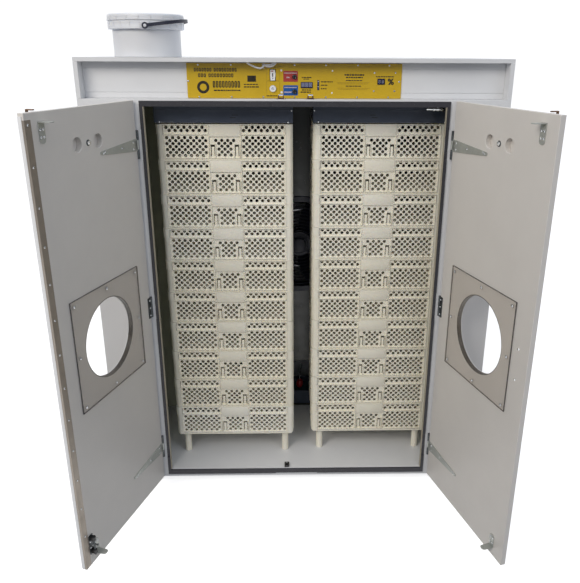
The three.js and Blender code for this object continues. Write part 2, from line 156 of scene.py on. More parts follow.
def surface(
    name, colour, rough, tint, spread=0.06, grain=500, bump=0.05, depth=0.0002,
    patch=9, speck=None, stripes=None, random_tint=0.0, **sockets,
):
    """A procedural material. Patches vary the colour down to tint times itself, a finer noise varies the
    roughness by spread, and a grain roughens the surface. speck is (colour, amount), stripes is the axis along
    which the grain is drawn out, and sockets are the shader's own, with _ for a space in their names."""
    colour = srgb(*colour)
    material = bpy.data.materials.new(name)
    material.use_nodes = True
    tree = material.node_tree
    nodes, links = tree.nodes, tree.links
    shader = nodes["Principled BSDF"]
    place = nodes.new("ShaderNodeTexCoord").outputs["Object"]
    grain_place = place
    if stripes is not None:
        mapping = nodes.new("ShaderNodeMapping")
        mapping.inputs["Scale"].default_value = [0.04 if axis == stripes else 1 for axis in range(3)]
        links.new(place, mapping.inputs["Vector"])
        grain_place = mapping.outputs["Vector"]
    shade = [channel * tint for channel in colour[:3]] + [1]
    patches = stretch(tree, noise(tree, place, patch, 5, 0.6), 0, 1)
    paint = blend_colours(tree, patches, colour, shade)
    if random_tint:
        chance = nodes.new("ShaderNodeObjectInfo").outputs["Random"]
        warm = [channel * (1 - random_tint * weight) for channel, weight in zip(shade, (0.5, 0.8, 1.6))] + [1]
        paint = blend_colours(tree, chance, paint, warm)
    if speck:
        dots = stretch(tree, noise(tree, place, 260, 2), 0, speck[1], 0.62, 0.72)
        paint = blend_colours(tree, dots, paint, srgb(*speck[0]))
    links.new(paint, shader.inputs["Base Color"])
    smears = noise(tree, place, patch * 3.3, 4, 0.65)
    links.new(stretch(tree, smears, rough - spread, rough + spread), shader.inputs["Roughness"])
    relief = nodes.new("ShaderNodeBump")
    relief.inputs["Strength"].default_value = bump
    relief.inputs["Distance"].default_value = depth
    links.new(noise(tree, grain_place, grain, 3, 0.55), relief.inputs["Height"])
    links.new(relief.outputs["Normal"], shader.inputs["Normal"])
    for socket, value in sockets.items():
        shader.inputs[socket.replace("_", " ")].default_value = value
    return material


BOARD = surface("white_board", (226, 227, 229), 0.34, 0.965, grain=900)
DOOR_BOARD = surface("door_board", (221, 217, 212), 0.42, 0.96, grain=700, bump=0.07)
IVORY = surface(
    "crate_plastic", (250, 246, 232), 0.46, 0.95, grain=1500, bump=0.1, patch=14, random_tint=0.06,
    speck=((196, 184, 158), 0.25),
    Subsurface_Weight=0.12, Subsurface_Radius=(0.004, 0.003, 0.002), Subsurface_Scale=0.5,
)
LINER = surface("olive_liner", (62, 63, 55), 0.22, 0.8, 0.07, grain=120, depth=0.001)
# painted light: a much paler copy of the olive liner for the chamber's side walls, standing in for the bounce light
# they would catch
LIT_WALL_LINER = surface("wall_liner_painted_light", (200, 202, 182), 0.22, 0.86, 0.07, grain=120, depth=0.001)
# painted reflection: the glossy black sheet's base colour is a bluish grey that stands in for the bluish light it
# reflects; the hoods, their seams and the drip pan share it
BLACK_SHEET = surface("black_sheet", (84, 92, 108), 0.15, 0.75, 0.08, grain=300, depth=0.0006)
SEAL = surface("seal_rubber", (38, 37, 44), 0.5, 0.8, bump=0.25, patch=20, speck=((88, 88, 92), 0.4))
TRIM = surface("beige_trim", (176, 168, 150), 0.5, 0.85, grain=400, bump=0.1)
ZINC = surface(
    "zinc_plate", (178, 181, 176), 0.44, 0.84, 0.12, grain=260, bump=0.12, patch=38,
    speck=((130, 132, 126), 0.4), Metallic=0.35,
)
DARK_ZINC = surface(
    "dark_zinc", (86, 90, 92), 0.45, 0.6, 0.1, grain=260, bump=0.15, patch=40,
    speck=((40, 40, 40), 0.5), Metallic=0.85,
)
STEEL = surface("steel", (196, 198, 200), 0.27, 0.8, 0.1, grain=1200, bump=0.08, stripes=0, Metallic=1.0)
CHROME = surface("bright_metal", (222, 224, 226), 0.12, 0.9, grain=300, bump=0.03, Metallic=1.0)
NAVY = surface("navy_enamel", (34, 38, 62), 0.35, 0.7, 0.1, grain=400, bump=0.12)
BRONZE = surface("bronze_strip", (150, 141, 131), 0.44, 0.85, 0.1, grain=700, bump=0.1, stripes=2, Metallic=0.55)
ENAMEL = surface("black_enamel", (26, 26, 28), 0.38, 0.7, bump=0.15)
PANEL = surface(
    "panel_yellow", (214, 178, 30), 0.22, 0.84, 0.05, grain=160, bump=0.06, depth=0.0006, patch=5,
    Coat_Weight=0.6, Coat_Roughness=0.08,
)
INK = surface("ink", (42, 36, 20), 0.3, 0.7)
PRINT_EDGE = surface("print_edge", (160, 130, 22), 0.3, 0.85)
RED_LABEL = surface("red_label", (176, 66, 62), 0.28, 0.85)
BLUE_LABEL = surface("blue_label", (28, 88, 166), 0.28, 0.85)
LABEL_PALE = surface("label_pale", (206, 190, 196), 0.35, 0.9)
BLACK_PLASTIC = surface("black_plastic", (20, 20, 22), 0.3, 0.7, grain=700, bump=0.1)
WHITE_PLASTIC = surface("white_plastic", (244, 245, 247), 0.28, 0.96, grain=700, bump=0.06)
DISPLAY = surface("display_window", (44, 42, 72), 0.12, 0.8, grain=300, bump=0.02)
SMOKED = surface("display_smoked", (146, 150, 178), 0.16, 0.8, grain=300, bump=0.02)
PALE_DIGIT = surface("pale_digit", (186, 190, 206), 0.25, 0.85, grain=300, bump=0.02)
BLUE_DIGIT = surface("blue_digit", (56, 92, 150), 0.3, 0.8, grain=300, bump=0.02)
PAIL = surface(
    "pail_plastic", (240, 243, 250), 0.34, 0.965, bump=0.06, patch=7, Subsurface_Weight=0.35,
    Subsurface_Radius=(0.02, 0.022, 0.026), Subsurface_Scale=0.6, Transmission_Weight=0.05,
)
BAIL = surface("bail_navy", (44, 47, 64), 0.4, 0.75, bump=0.12)
CLEAR = surface(
    "clear_pane", (188, 170, 148), 0.05, 0.9, 0.03, grain=40, bump=0.02, depth=0.0006, Alpha=0.1, IOR=1.49,
)
# painted shade: a dark translucent ring round the clear pane's edge, standing in for the dark look of the acrylic's
# edge
PANE_EDGE_SHADE = surface("pane_edge", (62, 58, 66), 0.2, 0.8, grain=300, Alpha=0.5)
PORT_EDGE = surface("port_edge", (36, 34, 32), 0.35, 0.6, bump=0.2, patch=40, speck=((96, 92, 84), 0.5))
BRASS = surface(
    "aged_brass", (134, 104, 82), 0.36, 0.55, 0.12, grain=400, bump=0.15, patch=60,
    speck=((60, 38, 26), 0.7), Metallic=0.85,
)
# painted shade: near-black colour for the hood's slots, which are thin dark blocks on the sheet, not cut openings
PAINTED_SLOT_SHADE = surface("slot_shadow", (10, 14, 24), 0.5, 0.8)
WATER = surface(
    "water", (70, 128, 130), 0.05, 0.8, 0.02, grain=60, bump=0.1, depth=0.001,
    Transmission_Weight=0.4, IOR=1.33,
)
RED_FLOAT = surface("red_float", (176, 34, 34), 0.35, 0.8, bump=0.08)


# ---------------------------------------------------------------- mesh building
def around(steps, start=0.0):
    """Angles evenly round a circle."""
    return [start + 2 * math.pi * i / steps for i in range(steps)]


def outward(part):
    bmesh.ops.recalc_face_normals(part, faces=part.faces)
    return part


def as_mesh(part, name):
    """The part as mesh data, the part itself used up."""
    data = bpy.data.meshes.new(name)
    part.to_mesh(data)
    part.free()
    return data


def add_object(name, data):
    obj = bpy.data.objects.new(name, data)
    scene.collection.objects.link(obj)
    return obj


def block(x0, x1, y0, y1, z0, z1, round_by=0.0):
    """A box between two corners, its edges rounded."""
    part = bmesh.new()
    size = [abs(x1 - x0), abs(y1 - y0), abs(z1 - z0)]
    middle = [(x0 + x1) / 2, (y0 + y1) / 2, (z0 + z1) / 2]
    bmesh.ops.create_cube(part, size=1, matrix=Matrix.LocRotScale(middle, None, size))
    if round_by:
        bmesh.ops.bevel(part, geom=part.edges[:], offset=round_by, segments=2, profile=0.5, affect="EDGES")
    return part


def turned(profile, steps=48):
    """A profile of (radius, height) turned about z. It closes on the axis or on itself."""
    part = bmesh.new()
    rings = []
    for radius, height in profile:
        if radius < 1e-6:
            rings.append([part.verts.new((0, 0, height))] * steps)
        else:
            rings.append([
                part.verts.new((radius * math.cos(a), radius * math.sin(a), height)) for a in around(steps)
            ])
    on_axis = profile[0][0] < 1e-6 and profile[-1][0] < 1e-6
    pairs = list(zip(rings, rings[1:])) + ([] if on_axis else [(rings[-1], rings[0])])
    for lower, upper in pairs:
        for i in range(steps):
            k = (i + 1) % steps
            corners = list(dict.fromkeys((lower[i], lower[k], upper[k], upper[i])))
            if len(corners) > 2:
                part.faces.new(corners)
    return outward(part)


def hoop(radius, wire, steps=64, sides=10):
    """A wire ring about z."""
    return turned([(radius + wire * math.cos(a), wire * math.sin(a)) for a in around(sides)], steps)


def circle(x, z, radius, sides=12, start=0.0):
    return [(x + radius * math.cos(a), z + radius * math.sin(a)) for a in around(sides, start)]


def rectangle(x0, x1, z0, z1, radius=0.0, steps=4):
    """An outline with round corners."""
    x0, x1 = sorted((x0, x1))
    if not radius:
        return [(x0, z0), (x1, z0), (x1, z1), (x0, z1)]
    corners = ((x1 - radius, z1 - radius), (x0 + radius, z1 - radius),
               (x0 + radius, z0 + radius), (x1 - radius, z0 + radius))
    points = []
    for quarter, (x, z) in enumerate(corners):
        for i in range(steps + 1):
            a = math.pi / 2 * (quarter + i / steps)
            points.append((x + radius * math.cos(a), z + radius * math.sin(a)))
    return points


def inside(point, loop):
    """Whether a point lies inside a closed outline."""
    crossings = 0
    for (x0, z0), (x1, z1) in zip(loop, [*loop[1:], loop[0]]):
        if (z0 > point.y) != (z1 > point.y):
            crossings += point.x < x0 + (x1 - x0) * (point.y - z0) / (z1 - z0)
    return crossings % 2 == 1


def plate(outline, holes, y0, y1):
    """A flat plate with real holes: outlines in x and z, thick along y."""
    points, edges = [], []
    for loop in (outline, *holes):
        start = len(points)
        points += [Vector(point) for point in loop]
        edges += [(start + i, start + (i + 1) % len(loop)) for i in range(len(loop))]
    points, _, faces, *_ = delaunay_2d_cdt(points, edges, [], 1, 1e-5)
    gaps = [(min(p[0] for p in loop), max(p[0] for p in loop), min(p[1] for p in loop),
             max(p[1] for p in loop), loop) for loop in holes]
    part = bmesh.new()
    front = [part.verts.new((p.x, y0, p.y)) for p in points]
    back = [part.verts.new((p.x, y1, p.y)) for p in points]
    used = {}
    for face in faces:
        a, b, c = (points[i] for i in face)
        middle = (a + b + c) / 3
        if any(x0 < middle.x < x1 and z0 < middle.y < z1 and inside(middle, loop)
               for x0, x1, z0, z1, loop in gaps):
            continue
        if (b - a).cross(c - a) < 0:
            face = face[::-1]
        part.faces.new([front[i] for i in face])
        part.faces.new([back[i] for i in reversed(face)])
        for first, second in zip(face, [*face[1:], face[0]]):
            used[first, second] = True
    for first, second in used:
        if (second, first) not in used:
            part.faces.new((front[second], front[first], back[first], back[second]))
    loose = [vert for vert in part.verts if not vert.link_faces]
    bmesh.ops.delete(part, geom=loose, context="VERTS")
    return outward(part)


def smooth_path(points, steps=6):
    """A Catmull-Rom curve through points."""
    points = [Vector(point) for point in points]
    ends = [2 * points[0] - points[1], *points, 2 * points[-1] - points[-2]]
    path = []
    for a, b, c, d in zip(ends, ends[1:], ends[2:], ends[3:]):
        for i in range(steps):
            t = i / steps
            path.append(
                0.5 * (2 * b + (c - a) * t + (2 * a - 5 * b + 4 * c - d) * t * t
                       + (3 * b - a - 3 * c + d) * t ** 3)
            )
    return [*path, points[-1]]


def skin(part, rows, closed=True):
    """Faces between rows of vertices. Closed rows make a bar, which gets its two ends."""
    for lower, upper in zip(rows, rows[1:]):
        for k in range(len(lower) if closed else len(lower) - 1):
            n = (k + 1) % len(lower)
            part.faces.new((lower[k], lower[n], upper[n], upper[k]))
    if closed:
        part.faces.new(rows[0])
        part.faces.new(rows[-1])
        outward(part)
    return part


def tube(path, radius, sides=12):
    """A round bar along a path."""
    part = bmesh.new()
    path = [Vector(point) for point in path]
    rings = []
    across = (path[1] - path[0]).orthogonal().normalized()
    for i, point in enumerate(path):
        ahead = (path[min(i + 1, len(path) - 1)] - path[max(i - 1, 0)]).normalized()
        across = (across - ahead * across.dot(ahead)).normalized()
        other = ahead.cross(across)
        rings.append([
            part.verts.new(point + radius * (across * math.cos(a) + other * math.sin(a))) for a in around(sides)
        ])
    return skin(part, rings)


def swept(outline, z0, z1):
    """An outline in x and y, tall along z."""
    return outward(moved(plate(outline, [], -z1, -z0), TO_BACK))


def moved(part, *steps):
    """The part after each of the given matrices, or shifts, in turn."""
    for step in steps:
        matrix = step if isinstance(step, Matrix) else Matrix.Translation(step)
        bmesh.ops.transform(part, matrix=matrix, verts=part.verts)
    return part


def carved(part, cutters):
    """The part with the cutters' shapes taken out of it."""
    base, *tools = (add_object("carving", as_mesh(source, "carving")) for source in (part, *cutters))
    for tool in tools:
        modifier = base.modifiers.new("cut", "BOOLEAN")
        modifier.object = tool
        modifier.operation = "DIFFERENCE"
        modifier.solver = "EXACT"
    result = bmesh.new()
    result.from_object(base, bpy.context.evaluated_depsgraph_get())
    for obj in (base, *tools):
        mesh = obj.data
        bpy.data.objects.remove(obj)
        bpy.data.meshes.remove(mesh)
    return result


class Piece:
    """A mesh in the making, in the millimetres of its body's local frame or of the one given as place."""

    def __init__(self, name, body, *materials, place=None):
        self.name, self.body, self.materials = name, body, materials
        self.place = place or PLACE.get(body, PLACE["cabinet"])
        self.mesh = bmesh.new()

    def take(self, part, material=0, *steps):
        """Adds a part, which is used up."""
        moved(part, *steps)
        for face in part.faces:
            face.material_index = material
        scratch = as_mesh(part, "scratch")
        self.mesh.from_mesh(scratch)
        bpy.data.meshes.remove(scratch)

    def screw(self, centre, normal, radius=3.4, material=0, washer=0.0):
        """A pan head with a cross recess, standing on centre."""
        turn = Matrix.Rotation(dice.uniform(0, math.pi), 4, "Z")
        face = Vector(normal).to_track_quat("Z", "Y").to_matrix().to_4x4()
        head = bmesh.new()
        head.from_mesh(SCREW_HEAD)
        if washer:
            ring = [(0, 0), (washer, 0), (washer, 0.6), (washer - 0.4, WASHER_T), (0, WASHER_T)]
            self.take(turned(ring, 20), material, face, centre)
        lift = (0, 0, WASHER_T if washer else 0)
        self.take(head, material, turn, Matrix.Scale(radius, 4), lift, face, centre)

    def mesh_data(self):
        moved(self.mesh, self.place)
        for face in self.mesh.faces:
            face.smooth = True
        for edge in self.mesh.edges:
            edge.smooth = len(edge.link_faces) == 2 and edge.calc_face_angle(0) < SHARP
        data = as_mesh(self.mesh, self.name)
        for material in self.materials:
            data.materials.append(material)
        return data

    def done(self, stands_for=(), soften=0.0):
        """The finished piece, riding its body. soften rounds its sharp edges by so many millimetres."""
        obj = add_object(self.name, self.mesh_data())
        finish_edges(obj, soften)
        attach(obj, self.body)
        if stands_for:
            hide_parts(*stands_for)


def finish_edges(obj, soften):
    if soften:
        bevel = obj.modifiers.new("round_edges", "BEVEL")
        bevel.width = soften / 1000
        bevel.segments = 2
        bevel.limit_method = "ANGLE"
        bevel.angle_limit = SHARP
        bevel.harden_normals = False
    normals = obj.modifiers.new("flat_faces", "WEIGHTED_NORMAL")
    normals.keep_sharp = True


def screw_head():
    """A pan head of radius 1 with a cross recess."""
    dome = turned([(0, 0), (1, 0), (1, 0.16), (0.9, 0.38), (0.66, 0.54), (0.35, 0.6), (0, 0.62)], 24)
    arms = [block(-0.62, 0.62, -0.1, 0.1, 0.3, 1), block(-0.1, 0.1, -0.62, 0.62, 0.3, 1)]
    return as_mesh(carved(dome, arms), "screw_head")


SCREW_HEAD = screw_head()


def keep(node, material, soften=0.0):
    """A CAD node that stays, with a better surface."""
    obj = frame["nodes"][node]
    obj.data.materials.clear()
    obj.data.materials.append(material)
    if soften:
        finish_edges(obj, soften)


def knuckle(z0, z1):
    """A round piece of a hinge's barrel."""
    return turned([(0, z0), (3.4, z0), (4, z0 + 0.6), (4, z1 - 0.6), (3.4, z1), (0, z1)], 24)


def slab(name, size, material, stands_for=()):
    """A piece that is one rounded board: size is what block() takes."""
    board = Piece(name, "cabinet", material)
    board.take(block(*size))
    board.done(stands_for)


# ---------------------------------------------------------------- cabinet
def build_cabinet():
    for step in (boards, chamber_lining, front_frame, fixed_hinge_halves, back_vents):
        step()


def boards():
    for side in ("left", "right"):
        keep(f"side_panel_{side}", BOARD, 1.0)
    keep("back_panel", BOARD, 1.0)
    keep("header_top", BOARD, 1.2)
    keep("rear_baffle", LINER, 0.4)
    keep("door_seal", SEAL, 0.8)

    across = (-INNER_X + GAP, INNER_X - GAP, FACE_Y + FRAME_T + GAP, BACK_Y - GAP)
    slab("floor_board", (*across, SILL_Z, FLOOR_Z, 0.6), BOARD, ["floor_panel"])
    slab("plinth", (-540, 540, 60, 580, -40, -7.2, 1.5), BOARD)
    keeper_x = BOLT_U - HINGE_X
    keeper = Piece("bolt_keeper", "cabinet", BLACK_PLASTIC, STEEL)
    keeper.take(carved(
        block(keeper_x - 8, keeper_x + 8, FACE_Y + 1.2, 28, FLOOR_Z + GAP, FLOOR_Z + 8, 1.2),
        [moved(turned([(0, -2), (3.6, -2), (3.6, 12), (0, 12)], 20), (keeper_x, 11, FLOOR_Z))],
    ))
    keeper.screw((keeper_x, 22, FLOOR_Z + 8), (0, 0, 1), 2.4, 1)
    keeper.done()
    slab("ledge_board", (*across, CEIL_Z + 1.2, LEDGE_Z, 0.6), BOARD, ["ceiling_panel"])
    slab("ceiling_lining", (*across, CEIL_Z, CEIL_Z + 1.1, 0.3), LINER)


def chamber_lining():
    for side, s, inner_end in (("left", -1, -414), ("right", 1, 458)):
        # the side walls take the paler liner, with painted bounce light
        wall = Piece(f"wall_lining_{side}", "cabinet", LIT_WALL_LINER, STEEL)
        upright = (FLOOR_Z + GAP, CEIL_Z - GAP, 0.3)
        wall.take(block(s * INNER_X, s * (INNER_X - 1), 17.6, BAFFLE_Y - GAP, *upright))
        wall.take(block(s * (INNER_X - 1.2), inner_end, BAFFLE_Y - 1.6, BAFFLE_Y - GAP, *upright))
        for z in (70, 420, 790, 1165):
            for y in (40, 390):
                wall.screw((s * (INNER_X - 1), y, z), (-s, 0, 0), 3, 1)
        wall.done()


def front_frame():
    face = Piece("frame_board", "cabinet", BOARD)
    face.take(plate(
        rectangle(-HALF_W, HALF_W, SILL_Z, LEDGE_Z),
        [rectangle(-OPEN_X, OPEN_X, FLOOR_Z, CEIL_Z)],
        FACE_Y, FACE_Y + FRAME_T,
    ))
    face.done(["front_frame"], soften=0.8)
    trim = Piece("seal_trim", "cabinet", TRIM)
    low, _, high = HINGES
    ends = (FLOOR_Z + 0.1, low - 20, low + 20, high - 20, high + 20, CEIL_Z - 0.1)  # room for the strap hinges
    for s in (-1, 1):
        edge = (s * (OPEN_X - 0.1), s * (OPEN_X - 2.2))
        trim.take(block(*edge, FACE_Y, FACE_Y + 10, ends[0], ends[-1], 0.6))
        for z0, z1 in zip(ends[::2], ends[1::2]):
            trim.take(block(*edge, FACE_Y - 3.4, FACE_Y + 1, z0, z1, 0.6))
    trim.done()


def fixed_hinge_halves():
    for side, s in (("left", -1), ("right", 1)):
        for number, z in enumerate(HINGES, 1):
            long, short = (33, 11.4) if number == 2 else (40, 13)
            half = Piece(f"hinge_{side}_{number}_fixed", "cabinet", DARK_ZINC, STEEL)
            for z0, z1 in ((z - long, z - short), (z + short, z + long)):
                half.take(knuckle(z0, z1), 0, (s * HINGE_X, 0, 0))
                half.take(block(
                    s * HINGE_X - 2.8, s * HINGE_X + 2.8, 1, FACE_Y, z0 + 0.4, z1 - 0.4, 0.5))
            half.done()


def back_vents():
    grille = Piece("back_vents", "cabinet", BLACK_PLASTIC)
    for x in (-200, 200):
        grille.take(turned([(17.2, -9), (19.8, -9), (19.8, -1), (18.8, -0.4), (17.2, -0.4)], 40), 0,
                    TO_BACK, (x, 619.5, 150))
        for dz in (-12, -6, 0, 6, 12):
            half = math.sqrt(17.6 ** 2 - dz ** 2)
            slat = block(-half, half, -3, 3, -0.7, 0.7, 0.4)
            grille.take(slat, 0, Matrix.Rotation(0.6, 4, "X"), (x, 614, 150 + dz))
    grille.done()


# ---------------------------------------------------------------- header and control panel
HOLES = {"power": (-64, 1294), "mode": (-64, 1258.2, 9), "up": (-3.2, 1290, 6), "down": (-3.2, 1250.4, 6)}


def control_holes(margin):
    x, z = HOLES["power"]
    holes = [rectangle(x - 8 - margin, x + 8 + margin, z - 15.5 - margin, z + 15.5 + margin)]
    for name in ("mode", "up", "down"):
        x, z, radius = HOLES[name]
        holes.append(circle(x, z, radius + margin, 28))
    return holes


def layer(outline, holes=(), lift=0.16):
    """A thin layer of print on the panel."""
    return plate(outline, holes, PANEL_Y - lift, PANEL_Y + 0.1)


def print_dashes(piece, x0, x1, z, height, material):
    """A row of plain dashes in the place of a line of print."""
    x = x0
    while x < x1 - 2:
        long = min(dice.uniform(3.5, 9), x1 - x)
        piece.take(block(x, x + long, PANEL_Y - 0.16, PANEL_Y + 0.1, z - height / 2, z + height / 2), material)
        x += long + 1.4


def print_boxes(piece, x0, x1, z, height, counts, stroke, material):
    """Words of plain hollow boxes in the place of large print: counts gives the boxes in each word."""
    pitch = (x1 - x0) / (sum(counts) + 0.7 * (len(counts) - 1))
    x = x0
    for count in counts:
        for _ in range(count):
            outer = rectangle(x, x + pitch * 0.78, z - height / 2, z + height / 2, stroke)
            inner = rectangle(x + stroke, x + pitch * 0.78 - stroke, z - height / 2 + stroke, z + height / 2 - stroke)
            piece.take(layer(outer, [inner]), material)
            x += pitch
        x += 0.7 * pitch


def seven_segments(piece, x, z, width, height, material):
    """One figure eight of a numeric display."""
    bar = width * 0.2
    y0, y1 = PANEL_Y - 1.35, PANEL_Y - 1
    for dz in (-height / 2, 0, height / 2):
        piece.take(block(x - width / 2 + bar, x + width / 2 - bar, y0, y1, z + dz - bar / 2, z + dz + bar / 2),
                   material)
    for dx in (-width / 2, width / 2):
        for low, high in ((-height / 2 + bar, -bar), (bar, height / 2 - bar)):
            piece.take(block(x + dx - bar / 2, x + dx + bar / 2, y0, y1, z + low, z + high), material)


def build_header():
    for step in (fascia, panel_plate, displays, percent_sign, lamp_column, panel_screws, panel_lead, build_controls,
                 ledge_catches):
        step()


def fascia():
    board = Piece("fascia_board", "cabinet", BOARD)
    x = HALF_W - FRAME_T - GAP
    board.take(plate(rectangle(-x, x, LEDGE_Z + GAP, LIP_Z), control_holes(1.5), FASCIA_Y + 1.5, FASCIA_Y + 6))
    board.done(["header_fascia"])
    for side, x0, x1 in (("left", -x, PANEL_X[0] + 4), ("right", PANEL_X[1] - 4, x)):
        strips = Piece(f"fascia_strips_{side}", "cabinet", BOARD)
        for z0, z1 in ((LEDGE_Z + GAP, 1246.4), (1247.8, 1310.4), (1311.8, LIP_Z)):
            strips.take(block(x0, x1, FASCIA_Y, FASCIA_Y + 1.6, z0, z1, 0.5))
        strips.done()


def panel_plate():
    panel = Piece("panel_plate", "cabinet", PANEL, INK, PRINT_EDGE, RED_LABEL, BLUE_LABEL, LABEL_PALE)
    panel.take(plate(
        rectangle(*PANEL_X, *PANEL_Z, 2.5), control_holes(0.6), PANEL_Y, FASCIA_Y - GAP,
    ))
    for z0, z1 in ((1280, 1315), (1236, 1278.6)):
        frame_line = rectangle(-81.3, -45.7, z0 + 0.7, z1 - 0.7, 2)
        panel.take(layer(rectangle(-82, -45, z0, z1, 2.4), [frame_line], 0.12), 2)
    for name, material in (("up", 3), ("down", 4)):
        bx, bz, radius = HOLES[name]
        low, high = (1276.8, 1306) if name == "up" else (1240, 1267.5)
        ring = circle(bx, bz, radius + 0.6, 28)
        panel.take(layer(rectangle(-34.6, 6.4, low, high, 1.5), [ring], 0.15), material)
        wide = 4.5 if name == "up" else 10.5
        for x0, x1, z, height in ((-31.5, 2.8, high - 6, 2.6), (-21 - wide, -21 + wide, bz - 1.6, 3.6)):
            x = x0
            while x < x1:
                panel.take(block(x, min(x + 3.2, x1), PANEL_Y - 0.25, PANEL_Y, z - height / 2, z + height / 2), 5)
                x += 4
    print_boxes(panel, -283, -163, 1308, 10, (7, 9), 2.2, 1)
    print_boxes(panel, -272, -172, 1293.2, 10, (3, 9), 2.2, 1)
    print_boxes(panel, -232, -154, 1269.3, 18, (9,), 2.7, 1)
    panel.take(layer(circle(-259, 1261.5, 17, 40), [circle(-259, 1261.5, 9.5, 32)]), 1)
    panel.take(layer(rectangle(-135, -111, 1276.4, 1293, 1)), 1)
    print_dashes(panel, -229.5, -154, 1253, 3.6, 1)
    for x0, x1, z, height in (
        (-145, -103, 1269.3, 2.6), (-145, -101, 1262.6, 3.2), (-82, -46, 1239, 2.2), (17, 44, 1288.3, 2.8),
        (22, 39, 1284, 1.8), (17, 43, 1254.9, 2.8), (14, 46, 1249.2, 3.4), (71, 104.5, 1277, 2.8),
        (71, 91, 1268, 2.8), (71, 89, 1258.6, 2.8), (137, 192, 1295.8, 4.2), (141, 188.6, 1289, 3.4),
        (141, 187, 1280.8, 2.4), (117, 209, 1275, 1.3), (119, 206, 1271.8, 1.3), (141, 187, 1265.8, 2.4),
        (118, 209, 1260.3, 1.3), (120, 205, 1256.4, 1.3), (225.6, 275.7, 1291.4, 2.6),
    ):
        print_dashes(panel, x0, x1, z, height, 2 if height < 1.5 else 1)
    panel.done(["control_panel"])


def displays():
    shows = Piece("displays", "cabinet", BLACK_PLASTIC, DISPLAY, SMOKED, PALE_DIGIT)
    for x0, x1, z0, z1, count, window, lit in (
        (14.4, 47.8, 1260, 1276.4, 3, 2, 1), (230, 250.8, 1270.2, 1286.2, 2, 1, 3),
    ):
        opening = rectangle(x0 + 1, x1 - 1, z0 + 1, z1 - 1)
        shows.take(plate(rectangle(x0, x1, z0, z1, 1), [opening], PANEL_Y - 1.7, PANEL_Y - 0.05))
        shows.take(block(x0 + 0.8, x1 - 0.8, PANEL_Y - 0.9, PANEL_Y - 0.1, z0 + 0.8, z1 - 0.8), 1)
        step = (x1 - x0 - 2) / count
        for i in range(count):
            x = x0 + 1 + step * (i + 0.5)
            if window == 2:
                shows.take(block(x - step * 0.41, x + step * 0.41, PANEL_Y - 1.1, PANEL_Y - 0.8, z0 + 3.4, z1 - 1.6),
                           window)
            seven_segments(shows, x, (z0 + z1) / 2 + (0.8 if window == 2 else 0), step * 0.44, (z1 - z0) * 0.5, lit)
    shows.done()


def percent_sign():
    percent = Piece("percent_sign", "cabinet", INK)
    for x, z in ((263.2, 1282.3), (272.4, 1273.6)):
        percent.take(turned([(1.1, 0), (4.3, 0), (4.3, 0.3), (1.1, 0.3)], 24), 0, TO_FRONT, (x, PANEL_Y, z))
    stroke = [(260.6, 1269.6), (265.2, 1269.6), (275.4, 1286.4), (270.8, 1286.4)]
    percent.take(plate(stroke, [], PANEL_Y - 0.3, PANEL_Y))
    percent.done()


def lamp_column():
    lamps = Piece("lamps", "cabinet", DISPLAY, PALE_DIGIT, WHITE_PLASTIC, BLUE_DIGIT)
    lamps.take(block(60.8, 66.4, PANEL_Y - 0.5, PANEL_Y, 1254.5, 1281.5, 0.2))
    for i, z in enumerate((1277.4, 1271, 1264, 1258)):
        dome = [(0, -1.9), (1.1, -1.6), (1.8, -0.8), (1.9, 0), (0, 0)]
        lamps.take(turned(dome, 20), 3 if i % 2 else 1, TO_BACK,
                   (63.6, PANEL_Y - 0.4, z))
    for x, z, radius in ((-39.6, 1306.9, 2.9), (-39.4, 1248, 3.2), (103, 1306.5, 2.4), (102.6, 1247.3, 2.4)):
        dome = [(0, -radius * 0.6), (radius * 0.6, -radius * 0.45), (radius, 0), (0, 0)]
        lamps.take(turned(dome, 24), 2, TO_BACK, (x, PANEL_Y, z))
    lamps.done()


def panel_screws():
    screws = Piece("panel_screws", "cabinet", STEEL)
    spots = [(x, z) for x in (-271, -180, -91, -3, 85, 174, 262) for z in (1321.5, 1235.6)]
    spots += [(-300.2, 1278), (291.5, 1278), (221, 1301.5), (280, 1302), (220.5, 1252.6), (279, 1252.8)]
    for x, z in spots:
        screws.screw((x, PANEL_Y, z), (0, -1, 0), 2.6)
    screws.done()


def panel_lead():
    clip = Piece("lead_clip", "cabinet", STEEL)
    arc = [(-88, 34 + 4 * math.cos(a) + 2, 1316.5 + 4.6 * math.sin(a))
           for a in (math.pi * i / 10 - math.pi / 2 for i in range(11))]
    clip.take(tube(arc, 0.9, 8))
    clip.take(block(-91.5, -84.5, 41.8, 44, 1318, 1325, 0.4))
    clip.done()
    lead = Piece("lead", "cabinet", WHITE_PLASTIC)
    lead.take(tube(smooth_path([
        (-134, 23, TOP - 12.2), (-130, 24.5, TOP - 15.5), (-119, 28, TOP - 21), (-108, 31, TOP - 25.4),
        (-98.5, 33.6, TOP - 27.2), (-92, 34.4, TOP - 24.6), (-87.5, 34.2, TOP - 20.6), (-81, 34, TOP - 21.6),
        (-72, 33, TOP - 22.6), (-64, 31, TOP - 21), (-57.5, 28, TOP - 16.6), (-54, 26, TOP - 12.2),
    ]), 2.5, 16))
    lead.take(tube(smooth_path([
        (-88, 33, TOP - 18.6), (-80, 30.6, TOP - 18.2), (-70, 28.6, TOP - 17.6), (-63, 26.4, TOP - 15.2),
        (-61, 24, TOP - 12.4),
    ]), 2.3, 16))
    lead.done(["panel_lead"])


